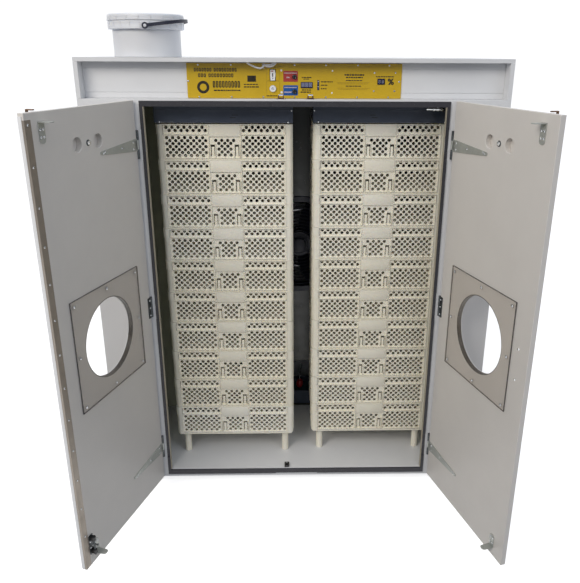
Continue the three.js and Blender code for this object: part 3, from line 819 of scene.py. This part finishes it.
def ledge_catches():
    for x in (-41, 41):
        catch = Piece(f"ledge_catch_{'left' if x < 0 else 'right'}", "cabinet", BRASS, CHROME)
        catch.take(plate(rectangle(x - 13, x + 13, -7, 7, 3), [], -0.7, 0.7), 0,
                   TO_FRONT, (0, 14, LEDGE_Z + 0.9))
        arch = [(x - 9, 0), (x + 9, 0), (x + 8.4, 7), (x + 6, 11), (x + 2, 13), (x - 2, 13), (x - 6, 11), (x - 8.4, 7)]
        catch.take(plate(arch, [rectangle(x - 5, x + 5, 3.4, 8, 1.6)], 11.5, 16.5), 0, (0, 0, LEDGE_Z + 1))
        catch.take(turned([(0, -6.5), (2.2, -6.5), (2.6, -6), (2.6, 6), (2.2, 6.5), (0, 6.5)], 20), 1,
                   TO_RIGHT, (x, 11, LEDGE_Z + 11.4))
        for dx in (-10.4, 10.4):
            catch.screw((x + dx, 14, LEDGE_Z + 1.6), (0, 0, 1), 2, 1)
        catch.done(soften=0.5)


def build_controls():
    x, z = HOLES["power"]
    pivot = Vector((x, PANEL_Y + 4, z))
    tilt = Matrix.Translation(pivot) @ Matrix.Rotation(math.radians(-7), 4, "X")
    key = Piece("power_key", "power_switch", WHITE_PLASTIC, BLACK_PLASTIC, SMOKED, RED_LABEL,
                place=PLACE["cabinet"] @ tilt)
    waist = [(-6.4, -14.4), (6.4, -14.4), (6.6, -6), (7.7, -2), (7.7, 5), (6.6, 9), (6.4, 14.4), (-6.4, 14.4),
             (-6.6, 9), (-7.1, 5), (-7.1, -2), (-6.6, -6)]
    shell = plate(waist, [], -5, 8)
    key.take(carved(shell, [
        block(-1.5, 1.5, -9, -3.6, -5, 3, 0.5),
        moved(turned([(0, -9), (2.6, -9), (2.6, -3.6), (0, -3.6)], 20), TO_BACK,
              (0, 0, 3.5)),
    ]))
    key.take(block(-1.3, 1.3, -3.8, -3.5, -4.8, 5, 0), 1)
    key.take(block(-1.6, 1.6, -5.15, -4.9, -11, -7, 0), 2)
    key.take(block(-4, 1, -5.15, -4.9, 9, 12, 0), 3)
    key.done(["power_switch"], soften=0.9)
    for name, material, slot in (("mode", WHITE_PLASTIC, "switch_white"), ("up", BLACK_PLASTIC, "button_black"),
                                 ("down", BLACK_PLASTIC, "button_black")):
        bx, bz, r = HOLES[name]
        cap = Piece(f"{name}_cap", f"{name}_button", material, SMOKED)
        profile = [(0, -5.6), (r * 0.34, -5.5), (r * 0.46, -4.9), (r * 0.6, -5.2), (r * 0.8, -5.9), (r * 0.93, -5.5),
                   (r, -4.6), (r, 9.8), (0, 9.8)]
        if name == "mode":
            profile = [(0, -5.2), (r * 0.5, -5.3), (r * 0.8, -5.7), (r * 0.93, -5.4), (r, -4.6), (r, 9.8), (0, 9.8)]
            cap.take(turned([(2.5, -5.5), (3.7, -5.55), (3.7, -5), (2.5, -5)], 32), 1, TO_BACK, (bx, PANEL_Y, bz))
            cap.take(block(-0.6, 0.6, -5.5, -5, 0, 3), 1, (bx, PANEL_Y, bz))
        cap.take(turned(profile, 40), 0, TO_BACK, (bx, PANEL_Y, bz))
        cap.done([f"{name}_button"])


# ---------------------------------------------------------------- doors
def mirrored(s, outline):
    """A door's outline, with x on the side that s says."""
    return [(s * u, z) for u, z in outline]


def build_door(side, s):
    body = f"door_{side}"
    board = Piece(f"{body}_board", body, DOOR_BOARD)
    vents = [circle(s * (VENT.x + dx), VENT.y, VENT_R, 36) for dx in (-VENT_PITCH, VENT_PITCH)]
    board.take(plate(
        rectangle(s * DOOR_U0, s * DOOR_U1, 0, DOOR_H),
        [circle(s * PORT.x, PORT.y, PORT_R, 72), *vents, circle(s * VENT.x, VENT.y, 3.4, 16)],
        -DOOR_T, 0,
    ))
    board.done([body], soften=1.0)
    door_hinges(side, s)
    corner_brackets(side, s)
    door_hook(side, s)
    porthole(side, s)
    vent_shutter(side, s)
    if side == "left":
        meeting_strip()
        tower_bolt()
    else:
        door_handle()


def door_hinges(side, s):
    for number, z in enumerate(HINGES, 1):
        half = 11 if number == 2 else 12.6
        metal = DARK_ZINC if number == 2 else ZINC
        hinge = Piece(f"hinge_{side}_{number}", f"door_{side}", metal, STEEL)
        hinge.take(knuckle(z - half, z + half))
        hinge.take(block(s * 0.8, s * 16, GAP / 3, 2, z - half + 0.4, z + half - 0.4, 0.4))
        if number == 2:
            hinge.take(plate(rectangle(s * 5, s * 18, z - 33, z + 33, 2), [], 0.1, 1.8))
            spots = [(8.5, z - 24), (8.5, z), (8.5, z + 24)]
        else:
            leaf = [(5, -17.5), (20, -16.6), (174, -5), (179, -3.5), (180, 0), (179, 3.5), (174, 5), (20, 16.6),
                    (5, 17.5)]
            hinge.take(plate(mirrored(s, [(u, z + dz) for u, dz in leaf]), [], 0.1, 2))
            spots = [(24, z - 9), (24, z + 9), (82, z + 1), (168, z - 1.2), (161, z + 1.6)]
        for u, spot_z in spots:
            hinge.screw((s * u, 1.9, spot_z), (0, 1, 0), 3.0, 1)
        hinge.done(soften=0.3)


def corner_brackets(side, s):
    brackets = Piece(f"brackets_{side}", f"door_{side}", ZINC, STEEL)
    u0, u1 = 382, 402
    for fold, free, rows in ((1208, 1159, (1190, 1173)), (25.5, 66, (57, 40))):
        way = 1 if fold > free else -1
        outline = [(u0, fold), (u0, free + 7 * way), (u0 + 2.5, free + 2 * way), (u0 + 7, free), (u1 - 7, free),
                   (u1 - 2.5, free + 2 * way), (u1, free + 7 * way), (u1, fold)]
        brackets.take(plate(mirrored(s, outline), [], 0.1, 2))
        tongue = [(u0, 0.1), (u0 + 0.6, 27), (u0 + 2.5, 31), (u0 + 6.5, 33), (u1 - 6.5, 33), (u1 - 2.5, 31),
                  (u1 - 0.6, 27), (u1, 0.1)]
        top = max(fold, fold - 2 * way)
        brackets.take(swept(mirrored(s, tongue), top - 2, top))
        for z in rows:
            for u in (387, 397):
                brackets.screw((s * u, 2, z), (0, 1, 0), 3.3, 1)
    brackets.done(soften=0.5)


def door_hook(side, s):
    ears = Piece(f"hook_ears_{side}", f"door_{side}", BRASS)
    for u in (HOOK_U - 12, HOOK_U + 9.3):
        ears.take(block(s * u, s * (u + 2.7), -DOOR_T - 8, -DOOR_T, HOOK_Z - 8, HOOK_Z + 8, 0.8))
    ears.done()
    hook = Piece(f"hook_{side}_bar", f"hook_{side}", BRASS)
    y = -DOOR_T - GAP
    wide = (s * (HOOK_U - 4), s * (HOOK_U + 4))
    hook.take(block(*wide, y - 5, y - 2, HOOK_Z, 1234.4, 0.9))
    hook.take(block(*wide, y - 5, -1, 1232, 1235, 0.9))
    pin = [(0, -9), (3.6, -9), (4, -8.6), (4, 8.6), (3.6, 9), (0, 9)]
    hook.take(turned(pin, 24), 0, TO_RIGHT, (s * HOOK_U, y - 4.2, HOOK_Z))
    hook.done([f"hook_{side}"])


def porthole(side, s):
    body = f"door_{side}"
    keep(f"pane_{side}", CLEAR, 0.7)
    # a thin ring painted with the pane edge's shade
    edge = Piece(f"pane_edge_{side}", body, PANE_EDGE_SHADE)
    outer, inner = (
        rectangle(s * (PORT.x - half), s * (PORT.x + half), PORT.y - half, PORT.y + half) for half in (156.2, 155.55)
    )
    edge.take(plate(outer, [inner], GAP, 4.2))
    edge.done()
    rim = Piece(f"port_edge_{side}", body, PORT_EDGE, WHITE_PLASTIC)
    for material, r0, r1, y0 in ((0, PORT_R - 1.6, PORT_R, 0.3), (1, PORT_R - 2.4, PORT_R - 1.5, DOOR_T - 1.6)):
        section = rectangle(r0, r1, y0, DOOR_T - 0.4)
        rim.take(turned(section, 72), material, TO_FRONT, (s * PORT.x, 0, PORT.y))
    rim.done()
    screws = Piece(f"pane_screws_{side}", body, STEEL)
    for du in (-1, 0, 1):
        for dz in (-1, 0, 1):
            if du or dz:
                screws.screw((s * (PORT.x + 142 * du), 4.4, PORT.y + 142 * dz), (0, 1, 0), 3.2, 0, 4.6)
    screws.done()


def vent_shutter(side, s):
    disc = Piece(f"shutter_{side}", f"vent_shutter_{side}", DOOR_BOARD, CHROME, BLACK_PLASTIC, DARK_ZINC)
    y = -DOOR_T - GAP
    holes = [circle(s * VENT.x, VENT.y + dz, VENT_R, 32) for dz in (-VENT_PITCH, VENT_PITCH)]
    disc.take(plate(circle(s * VENT.x, VENT.y, 66, 72), holes, y - 3, y))
    middle = (s * VENT.x, 0, VENT.y)
    grip = [(0, 3), (12, 3), (12, 5), (10.8, 6.4), (11.6, 12), (10, 14), (0, 14)]
    disc.take(turned(grip, 36), 2, TO_FRONT, (0, -DOOR_T, 0), middle)
    disc.take(turned([(0, -8), (3, -8), (3, 5.4), (2.2, 6), (0, 6)], 20), 1, TO_BACK, middle)
    nut = plate(circle(0, 0, 6, 6), [], 0.9, 4.8)
    disc.take(nut, 1, middle)
    washer = [(0, 0.1), (8, 0.1), (8, 0.9), (0, 0.9)]
    disc.take(turned(washer, 28), 3, TO_BACK, middle)
    disc.done([f"vent_shutter_{side}"], soften=0.4)


def meeting_strip():
    strip = Piece("strip_angle", "door_left", BRONZE, WHITE_PLASTIC)
    strip.take(block(424, 443.6, GAP, 1.5, 4, 1214, 0.4))
    strip.take(block(443.7, 444.9, -5, 1.5, 4, 1214, 0.4))
    strip.take(block(443.7, 444.9, -DOOR_T, -5.2, 4, 1222, 0.4), 1)
    strip.done(["meeting_strip"])
    screws = Piece("strip_screws", "door_left", STEEL)
    for i in range(13):
        screws.screw((434.5, 1.5, 109 + 91.2 * i), (0, 1, 0), 2.9)
    screws.done()


def tower_bolt():
    base = Piece("bolt_base", "door_left", ENAMEL, STEEL, DARK_ZINC)
    base.take(plate(rectangle(BOLT_U - 9, BOLT_U + 9, 34, 96, 3), [], GAP, 1.9), 2)
    for z0, z1 in ((38, 50), (81, 93)):
        barrel = [(3.4, z0), (5.6, z0), (6, z0 + 0.6), (6, z1 - 0.6), (5.6, z1), (3.4, z1)]
        base.take(turned(barrel, 28), 0, (BOLT_U, BOLT_Y, 0))
        for du in (-4.6, 4.6):
            base.take(block(BOLT_U + du - 1, BOLT_U + du + 1, 1.6, 9, z0 + 1, z1 - 1, 0.4))
    for z in (57, 76):
        for u in (BOLT_U - 5, BOLT_U + 5):
            base.screw((u, 1.9, z), (0, 1, 0), 2.8, 1)
    base.done(["bolt_housing"])
    rod = Piece("bolt_bar", "bolt_rod", DARK_ZINC)
    rod.take(turned([(0, 32), (2.4, 32), (3, 33), (3, 91.4), (2.4, 92), (0, 92)], 24), 0, (BOLT_U, BOLT_Y, 0))
    knob = [(0, 0), (2, 0), (2, 8), (2.8, 9.4), (2.9, 11), (2.2, 12.6), (0, 13)]
    rod.take(turned(knob, 20), 0, TO_BACK, (BOLT_U, BOLT_Y, 68))
    rod.done(["bolt_rod"])


def door_handle():
    handle = Piece("pull_handle", "door_right", CHROME)
    low, high, x = 566, 652, -402
    rise = [(-15.3, 0), (-32, 0), (-38.6, 2.6), (-42, 10)]
    path = [(x, y, low + dz) for y, dz in rise] + [(x, -42, (low + high) / 2)]
    path += [(x, y, high - dz) for y, dz in reversed(rise)]
    handle.take(tube(smooth_path(path), 3, 20))
    for z in (low, high):
        handle.take(turned([(0, 0.3), (8, 0.3), (8, 1.4), (5, 3), (0, 3)], 32), 0, TO_FRONT, (x, -DOOR_T, z))
        handle.screw((x, 0, z), (0, 1, 0), 3.4)
    handle.done(["handle_right"])


# ---------------------------------------------------------------- crates
PITCH = 17.6
ROW = 8.7
HOLE_R = 5.1


def wall_holes(long_wall):
    """Centres of the holes in one wall, about its middle: two rows under the rim, seven below the belt."""
    start, count = (56.2, 7) if long_wall else (58, 4)
    rows = [(CRATE_H - 18.6, 0), (CRATE_H - 9.6, 0.5)]
    rows += [(CRATE_H - 39.6 - ROW * row, 0 if row % 2 else 0.5) for row in range(7)]
    return [(way * (start + PITCH * (i + shift)), z) for way in (-1, 1) for z, shift in rows for i in range(count)]


def crate_mesh(name, backed):
    """A vented crate: x along its long front, y back from the front face. backed adds the ledge inside the
    rim that shows through the first row of holes."""
    crate = Piece(name, None, IVORY, place=MILLI)
    half_w, half_d = CRATE_W / 2, CRATE_D / 2
    for long_wall in (True, False):
        half = (half_w if long_wall else half_d) - 2
        reach = (half_d if long_wall else half_w) - 2
        holes = [circle(x, z, HOLE_R, 12, math.pi / 12) for x, z in wall_holes(long_wall)]
        if long_wall:
            for row, count in enumerate((4, 3, 2, 3, 2, 3)):
                z = CRATE_H - 47.4 - 8.5 * row
                holes += [circle(PITCH * (i - (count - 1) / 2), z, HOLE_R, 12, math.pi / 12) for i in range(count)]
            holes += [rectangle(x - 6.5, x + 6.5, 10.7, 45.2, 1, 2) for x in (-35.6, 35.6)]
        else:
            holes.append(rectangle(-40, 40, 60, 84, 9))
        for way in (1, -1):
            turn = Matrix.Rotation(0 if way > 0 else math.pi, 4, "Z")
            if not long_wall:
                turn = Matrix.Rotation(way * math.pi / 2, 4, "Z")
            home = (0, half_d, 0)

            def wall(part):
                crate.take(part, 0, turn, home)

            def rib(x0, x1, z0, z1, proud=1.8, round_by=0.6):
                wall(block(x0, x1, -reach - proud, -reach + 3, z0, z1, round_by))

            wall(plate(rectangle(-half + 10, half - 10, 0, CRATE_H - 2), holes, -reach + 2.6, -reach + 5))
            edge = 47.5 if long_wall else 46
            corner = half - 19
            for mirror in (-1, 1):
                inner, outer = sorted((mirror * edge, mirror * corner))
                rib(inner, outer, CRATE_H - 30.8, CRATE_H - 28.4)
                rib(inner, outer, 4.5, 6.8, 1.6, 0.5)
                for x, width in ((mirror * edge, 2.2), (mirror * corner, 2.4)):
                    rib(x - width / 2, x + width / 2, 5, CRATE_H - 3)
            if long_wall:
                rib(-46, 46, CRATE_H - 36, CRATE_H - 1, 1.8, 1)
                for x in (-35.6, 35.6):
                    wall(block(x - 4.2, x + 4.2, -reach + 3.8, -reach + 5.8, 9, 38.4, 0.8))
                    for dx in (-7.6, 7.6):
                        rib(x + dx - 1, x + dx + 1, 7, 47, 1, 0.5)
                rib(-46, 46, 4.5, 6.8, 1.6, 0.5)
            else:
                lip = [rectangle(-40, 40, 60, 84, 9)]
                wall(plate(rectangle(-43, 43, 57, 87, 11), lip, -reach - 1.6, -reach + 3.6))
            if backed:
                wall(block(-half + 6, half - 6, -reach + 6.4, -reach + 7.8, CRATE_H - 9.6, CRATE_H - 1.5, 0.4))
    rim_out = rectangle(-half_w, half_w, 0, CRATE_D, 13, 8)
    rim_in = rectangle(-half_w + 5.4, half_w - 5.4, 5.4, CRATE_D - 5.4, 9, 8)
    rim = plate(rim_out, [rim_in], -CRATE_H, -CRATE_H + 2.6)
    crate.take(rim, 0, TO_BACK)
    for inset, low, high in ((0.2, CRATE_H - 30, CRATE_H), (1.6, 0, CRATE_H - 29.5)):
        for sx in (-1, 1):
            for sy in (-1, 1):
                arc = [math.pi / 2 * i / 8 for i in range(9)]
                outer = [(12 * math.cos(a), 12 * math.sin(a)) for a in arc]
                inner = [(9.4 * math.cos(a), 9.4 * math.sin(a)) for a in reversed(arc)]
                section = [*outer, (-10, 12), (-10, 9.4), *inner, (9.4, -10), (12, -10)]
                points = [(sx * (half_w - 12 - inset + x), sy * (half_d - 12 - inset + y)) for x, y in section]
                crate.take(swept(points, low, high), 0, (0, half_d, 0))
    cells = [rectangle(i * 18 - 6.5, i * 18 + 6.5, k * 18 - 6.5, k * 18 + 6.5)
             for i in range(-10, 11) for k in range(-7, 8)]
    floor_plate = plate(rectangle(-half_w + 4, half_w - 4, -half_d + 4, half_d - 4, 8), cells, -2.8, 0)
    crate.take(floor_plate, 0, TO_BACK, (0, half_d, 0))
    outward(crate.mesh)
    return crate.mesh_data()


def build_crates():
    backed, plain = crate_mesh("crate_backed", True), crate_mesh("crate_top", False)
    for side in ("left", "right"):
        for number in range(1, 11):
            node = f"crate_{side}_{number:02d}"
            low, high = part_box(node)
            obj = add_object(f"vented_{node}", plain if number == 10 else backed)
            obj.location = ((low.x + high.x) / 2, low.y, low.z)
            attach(obj, node)
            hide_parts(node)


def build_stands():
    for side in ("left", "right"):
        low, high = (corner * 1000 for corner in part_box(f"stand_{side}"))
        local = Vector((0, -HINGE_LEFT.y * 1000, -DOOR_Z * 1000))
        low, high = low + local, high + local
        stand = Piece(f"crate_stand_{side}", "cabinet", IVORY)
        deck = plate(rectangle(low.x, high.x, low.y, high.y, 6),
                     [rectangle(low.x + 60, high.x - 60, low.y + 60, high.y - 60, 6)], -high.z, -high.z + 4.7)
        stand.take(deck, 0, TO_BACK)
        for x in (low.x + 25, high.x - 25):
            for y in (low.y + 27, high.y - 27):
                leg = [(0, low.z), (11.4, low.z), (12, low.z + 1), (11.4, low.z + 4), (11.2, high.z - 22),
                       (12, high.z - 20), (12, high.z - 4), (0, high.z - 4)]
                stand.take(turned(leg, 36), 0, (x, y, 0))
        outward(stand.mesh)
        stand.done([f"stand_{side}"], soften=0.5)


# ---------------------------------------------------------------- chamber fittings
def fan_blade():
    """A bowed blade along x, which leans less towards its tip."""
    sheet = bmesh.new()
    rows = []
    for share in (step / 8 for step in range(9)):
        lean = 0.62 - 0.3 * share
        width = 46 + 16 * math.sin(math.pi * share)
        row = []
        for k in range(7):
            w = (k / 6 - 0.5) * width
            bow = 3 * (1 - (k / 3 - 1) ** 2)
            row.append(sheet.verts.new((42 + 108 * share, w * math.sin(lean) - bow, w * math.cos(lean))))
        rows.append(row)
    skin(sheet, rows, closed=False)
    bmesh.ops.solidify(sheet, geom=sheet.faces[:], thickness=2.2)
    return outward(sheet)


def build_chamber():
    for step in (hood_fittings, fan_and_guard, heating_ring, drip_pan, float_valve, probe_sleeve):
        step()


def hood_fittings():
    for side, x0, x1, y0, slot_x in (("left", -412, -8, 84, -180), ("right", 52, 456, 97, 230)):
        # the hood sheets carry the black sheet's painted bluish reflection
        keep(f"hood_{side}", BLACK_SHEET, 0.6)
        fittings = Piece(f"hood_seams_{side}", "cabinet", BLACK_SHEET, STEEL, PAINTED_SLOT_SHADE)
        fittings.take(block(x0 + 3, x1 - 3, y0 - 0.8, y0 + 0.2, 1193.5, 1196.5, 0.4))
        fittings.take(block(x0 + 1, x1 - 1, y0 - 1.6, y0 + 0.2, 1160.6, 1164, 0.7))
        lean = 3 if side == "left" else -3
        # painted shade: each slot is a thin block in the near-black slot colour, not a real opening
        for dx, z in ((lean, 1182), (-lean, 1175)):
            fittings.take(block(slot_x + dx - 8.5, slot_x + dx + 8.5, y0 - 0.5, y0 + 0.2, z - 1.2, z + 1.2, 0.2), 2)
        for x in (x0 + 15, x1 - 14):
            fittings.screw((x, y0 - 1.6, 1162.4), (0, -1, 0), 2.6, 1)
        fittings.screw((x0 + 3.6 if side == "right" else x1 - 4, y0 - 0.9, 1195), (0, -1, 0), 2.2, 1)
        fittings.done()


def fan_and_guard():
    ring = Piece("fan_ring", "cabinet", NAVY, BLACK_PLASTIC)
    spot = tuple(FAN)
    ring.take(turned([(160, 0), (160, -4), (161, -5), (179, -5), (180, -4), (180, -0.3), (170, -0.3), (170, 55),
                      (160, 55)], 96), 0, TO_BACK, spot)
    for radius in range(30, 160, 12):
        ring.take(hoop(radius, 1.4, 72, 8), 0, TO_BACK, (FAN.x, FAN.y - 3.2, FAN.z))
    for a in around(4, math.pi / 4):
        for y0, y1, start, width in ((-4.6, -1.6, 18, 3), (46, 50, 20, 8)):
            arm = block(start, 162, y0, y1, -width / 2, width / 2, 0.8)
            ring.take(arm, 0, Matrix.Rotation(a, 4, "Y"), spot)
    ring.take(turned([(0, -5), (20, -5), (24, -3.6), (24, -1), (0, -1)], 48), 0, TO_BACK, spot)
    ring.take(turned([(0, 46), (40, 46), (42, 48), (42, 106), (38, 110), (0, 110)], 48), 1, TO_BACK, spot)
    ring.take(turned([(0, 8), (5, 8), (5, 47), (0, 47)], 24), 1, TO_BACK, spot)
    ring.done(["fan_housing"])

    rotor = Piece("fan_blades", "fan_rotor", NAVY)
    rotor.take(turned([(5.3, 12), (44, 12), (46, 14), (46, 38), (44, 40), (5.3, 40)], 48), 0, TO_BACK, spot)
    for a in around(5):
        rotor.take(fan_blade(), 0, Matrix.Rotation(a, 4, "Y"), (FAN.x, FAN.y + 25, FAN.z))
    rotor.done(["fan_rotor"])


def heating_ring():
    heat = Piece("heating_ring", "cabinet", STEEL)
    heat.take(hoop(110, 5, 80, 14), 0, TO_BACK, (FAN.x, FAN.y + 90, FAN.z))
    for dx in (-15, 15):
        path = [(FAN.x + dx, FAN.y + 90, FAN.z - 109), (FAN.x + dx, 595.5, FAN.z - 109)]
        heat.take(tube(path, 4.4, 16))
    heat.done(["heater"])


def drip_pan():
    pan = Piece("drip_pan", "cabinet", BLACK_SHEET, WATER)
    x0, x1, y0, y1 = FAN.x - 145, FAN.x + 145, FAN.y + 8, FAN.y + 130
    low = FLOOR_Z + GAP
    outer, inner = rectangle(x0, x1, y0, y1, 12, 6), rectangle(x0 + 3, x1 - 3, y0 + 3, y1 - 3, 9, 6)
    pan.take(plate(outer, [inner], -low - 61, -low), 0, TO_BACK)
    pan.take(plate(inner, [], -low - 3.5, -low), 0, TO_BACK)
    pan.take(plate(rectangle(x0 + 3.2, x1 - 3.2, y0 + 3.2, y1 - 3.2, 9, 6), [], -low - 40, -low - 3.6), 1, TO_BACK)
    outward(pan.mesh)
    pan.done(["water_pan"])


def float_valve():
    low = FLOOR_Z + GAP
    valve = Piece("float_valve", "cabinet", RED_FLOAT, STEEL)
    valve.take(turned([(0, 0), (10, 2), (13, 10), (13, 22), (10, 30), (4, 33), (0, 33)], 32), 0,
               (17, BAFFLE_Y + 40, low + 62))
    valve.take(tube(smooth_path([
        (17, BAFFLE_Y + 40, low + 94), (17, BAFFLE_Y + 40, low + 118), (20, BAFFLE_Y + 36, low + 142),
        (25, BAFFLE_Y + 24, low + 168), (22, BAFFLE_Y + 14, low + 178), (18, BAFFLE_Y + 12, low + 168),
    ]), 2, 12), 1)
    valve.done()


def probe_sleeve():
    sensor = Piece("probe_sleeve", "cabinet", CHROME, BLACK_PLASTIC)
    sleeve = [(0, 374), (2.4, 374.4), (3.2, 378), (3.2, 392), (5.2, 393), (5.2, 398), (3.8, 399), (3.8, 402),
              (5.4, 403), (5.4, 410), (3.8, 411), (3.8, 414), (5, 415), (5, 421), (2.6, 424), (0, 424)]
    sensor.take(turned(sleeve, 28), 0, TO_RIGHT, (0, 45, 1203.5))
    sensor.take(block(380, 414, 42, 48, 1206, CEIL_Z - GAP, 0.8), 1)
    for x in (386, 407):
        sensor.screw((x, 42, 1211), (0, -1, 0), 1.8, 0)
    sensor.done(["probe"])


# ---------------------------------------------------------------- pail
PAIL_TURN = math.radians(10)  # the ears stand a little askew
BAIL_LEAN = math.radians(8)
BAIL_Z = 80  # the ears' height
BAIL_IN, BAIL_OUT = 114.5, 117.5


def build_pail():
    low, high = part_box("pail_lid")
    place = Matrix.Translation(((low.x + high.x) / 2, (low.y + high.y) / 2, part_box("pail")[0].z))
    place = place @ Matrix.Rotation(PAIL_TURN, 4, "Z") @ MILLI
    pail_tub(place)
    pail_cover(place)
    pail_bail(place @ Matrix.Translation((0, 0, BAIL_Z)) @ Matrix.Rotation(-BAIL_LEAN, 4, "Y"))


def pail_tub(place):
    tub = Piece("pail_tub", "pail", PAIL, place=place)
    tub.take(turned([
        (0, 0.6), (87, 0.6), (89, 0), (92.6, 0), (94, 1.5), (94, 71.6), (104, 72), (105, 73), (105, 79), (104.4, 80.4),
        (104.4, 86.6), (105, 88), (105, 92.6), (104, 93.5), (101, 93.5), (101, 103), (92, 103), (91.6, 102), (91.6, 4),
        (90, 3), (0, 3),
    ], 96))
    for s in (-1, 1):
        ear = [(0, 99), (4, 99), (4, 118.4), (3.4, 119), (0, 119)]
        tub.take(turned(ear, 28), 0, Matrix.Rotation(-s * math.pi / 2, 4, "X"), (0, 0, BAIL_Z))
        tub.take(block(-12, 12, s * 102, s * 107.6, 74.6, 92, 1.6))
    for a in around(24, math.pi / 24):
        tub.take(block(104, 105.4, -0.6, 0.6, 74, 92, 0.5), 0, Matrix.Rotation(a, 4, "Z"))
    tub.done(["pail"])


def pail_cover(place):
    lid = Piece("pail_cover", "pail_lid", PAIL, place=place)
    lid.take(turned([
        (0, 103.4), (102, 103.4), (102, 94.3), (105.8, 94.3), (106.4, 95), (106.4, 98), (105.4, 99), (105.4, 106),
        (104.8, 109.6), (103, 111.4), (101, 112), (98.6, 110.6), (97, 108.4), (60, 108), (58, 107.2), (0, 107.2),
    ], 96))
    for a in around(20, math.pi / 20):
        lid.take(block(104.6, 106.2, -1.6, 1.6, 95, 105.5, 0.7), 0, Matrix.Rotation(a, 4, "Z"))
    lid.done(["pail_lid"])


def pail_bail(place):
    bail = Piece("bail_strap", "pail_bail", BAIL, place=place)
    strap = bmesh.new()
    steps = 48
    half = [(BAIL_OUT - 0.7, 1.2), (BAIL_OUT, 1.6), (BAIL_OUT, 3.6), (BAIL_OUT - 0.4, 4.4), (BAIL_IN + 0.4, 4.4),
            (BAIL_IN, 3.6)]
    section = [*((r, -h) for r, h in reversed(half)), *half]
    rings = []
    for i in range(steps + 1):
        a = -math.pi / 2 + math.pi * i / steps
        rings.append([strap.verts.new((r * math.cos(a), r * math.sin(a), h)) for r, h in section])
    bail.take(skin(strap, rings))
    for s in (-1, 1):
        end = [(4.3, BAIL_IN), (8, BAIL_IN), (8.5, BAIL_IN + 0.6), (8.5, BAIL_OUT - 0.6), (8, BAIL_OUT),
               (4.3, BAIL_OUT)]
        bail.take(turned(end, 32), 0, Matrix.Rotation(-s * math.pi / 2, 4, "X"))
    bail.done(["pail_bail"])


# ---------------------------------------------------------------- room, light and camera
def build_room():
    paper = surface(
        "studio_paper", (244, 244, 244), 0.8, 0.985, grain=300, bump=0.02, patch=2,
        Emission_Color=(1, 1, 1, 1), Emission_Strength=0.7,
    )
    room = bmesh.new()
    line = [(-6, 0.0), (3.0, 0.0)]
    line += [(3.0 + 1.6 * math.sin(a), 1.6 - 1.6 * math.cos(a)) for a in (math.pi / 2 * i / 12 for i in range(1, 13))]
    line += [(4.6, 7.0)]
    rows = [[room.verts.new((x, y, z)) for x in (-9.0, 9.0)] for y, z in line]
    for face in skin(room, rows, closed=False).faces:
        face.smooth = True
    data = as_mesh(room, "backdrop")
    data.materials.append(paper)
    obj = add_object("backdrop", data)
    obj.visible_diffuse = False


def area_light(name, place, aim, size, power, colour):
    data = bpy.data.lights.new(name, "AREA")
    data.shape = "RECTANGLE"
    data.size, data.size_y = size
    data.energy = power
    data.color = colour
    light = add_object(name, data)
    light.location = place
    light.rotation_euler = (Vector(aim) - Vector(place)).to_track_quat("-Z", "Y").to_euler()


def build_light():
    world = bpy.data.worlds.new("studio")
    scene.world = world
    world.use_nodes = True
    tree = world.node_tree
    nodes, links = tree.nodes, tree.links
    apart = nodes.new("ShaderNodeSeparateXYZ")
    links.new(nodes.new("ShaderNodeTexCoord").outputs["Generated"], apart.inputs["Vector"])
    height = stretch(tree, apart.outputs["Z"], 0, 1, -0.5, 0.6)
    sky = blend_colours(tree, height, (0.04, 0.04, 0.045, 1), (0.46, 0.49, 0.54, 1))
    links.new(sky, nodes["Background"].inputs["Color"])
    area_light("key", (-1.9, -3.0, 3.0), (0.1, 0, 0.9), (2.0, 1.6), 74, (1, 0.94, 0.86))
    area_light("fill", (2.1, -2.8, 2.8), (0, 0, 1.1), (1.8, 1.8), 18, (0.9, 0.94, 1))
    area_light("top", (0, 0.4, 4.0), (0, 0.2, 1), (3.0, 2.6), 22, (0.96, 0.98, 1))


def build_camera():
    """The view down onto the open doors: angles in radians, places in metres."""
    yaw, pitch, roll = 0.0247, 0.3444, 0.0052
    ahead = Vector((math.sin(yaw) * math.cos(pitch), math.cos(yaw) * math.cos(pitch), -math.sin(pitch)))
    right = Vector((math.cos(yaw), -math.sin(yaw), 0))
    up = right.cross(ahead)
    right, up = math.cos(roll) * right + math.sin(roll) * up, math.cos(roll) * up - math.sin(roll) * right
    data = bpy.data.cameras.new("camera")
    data.lens = 39.38
    data.shift_x = -0.0305
    data.shift_y = -0.0151
    camera = add_object("camera", data)
    axes = Matrix((right, up, -ahead)).transposed()
    camera.matrix_world = Matrix.Translation((-0.0093, -2.1406, 1.3906)) @ axes.to_4x4()
    scene.camera = camera
    scene.view_settings.view_transform = "Standard"


build_camera()
build_room()
build_light()
build_cabinet()
build_header()
for name, way in SIDES:
    build_door(name, way)
build_crates()
build_stands()
build_chamber()
build_pail()
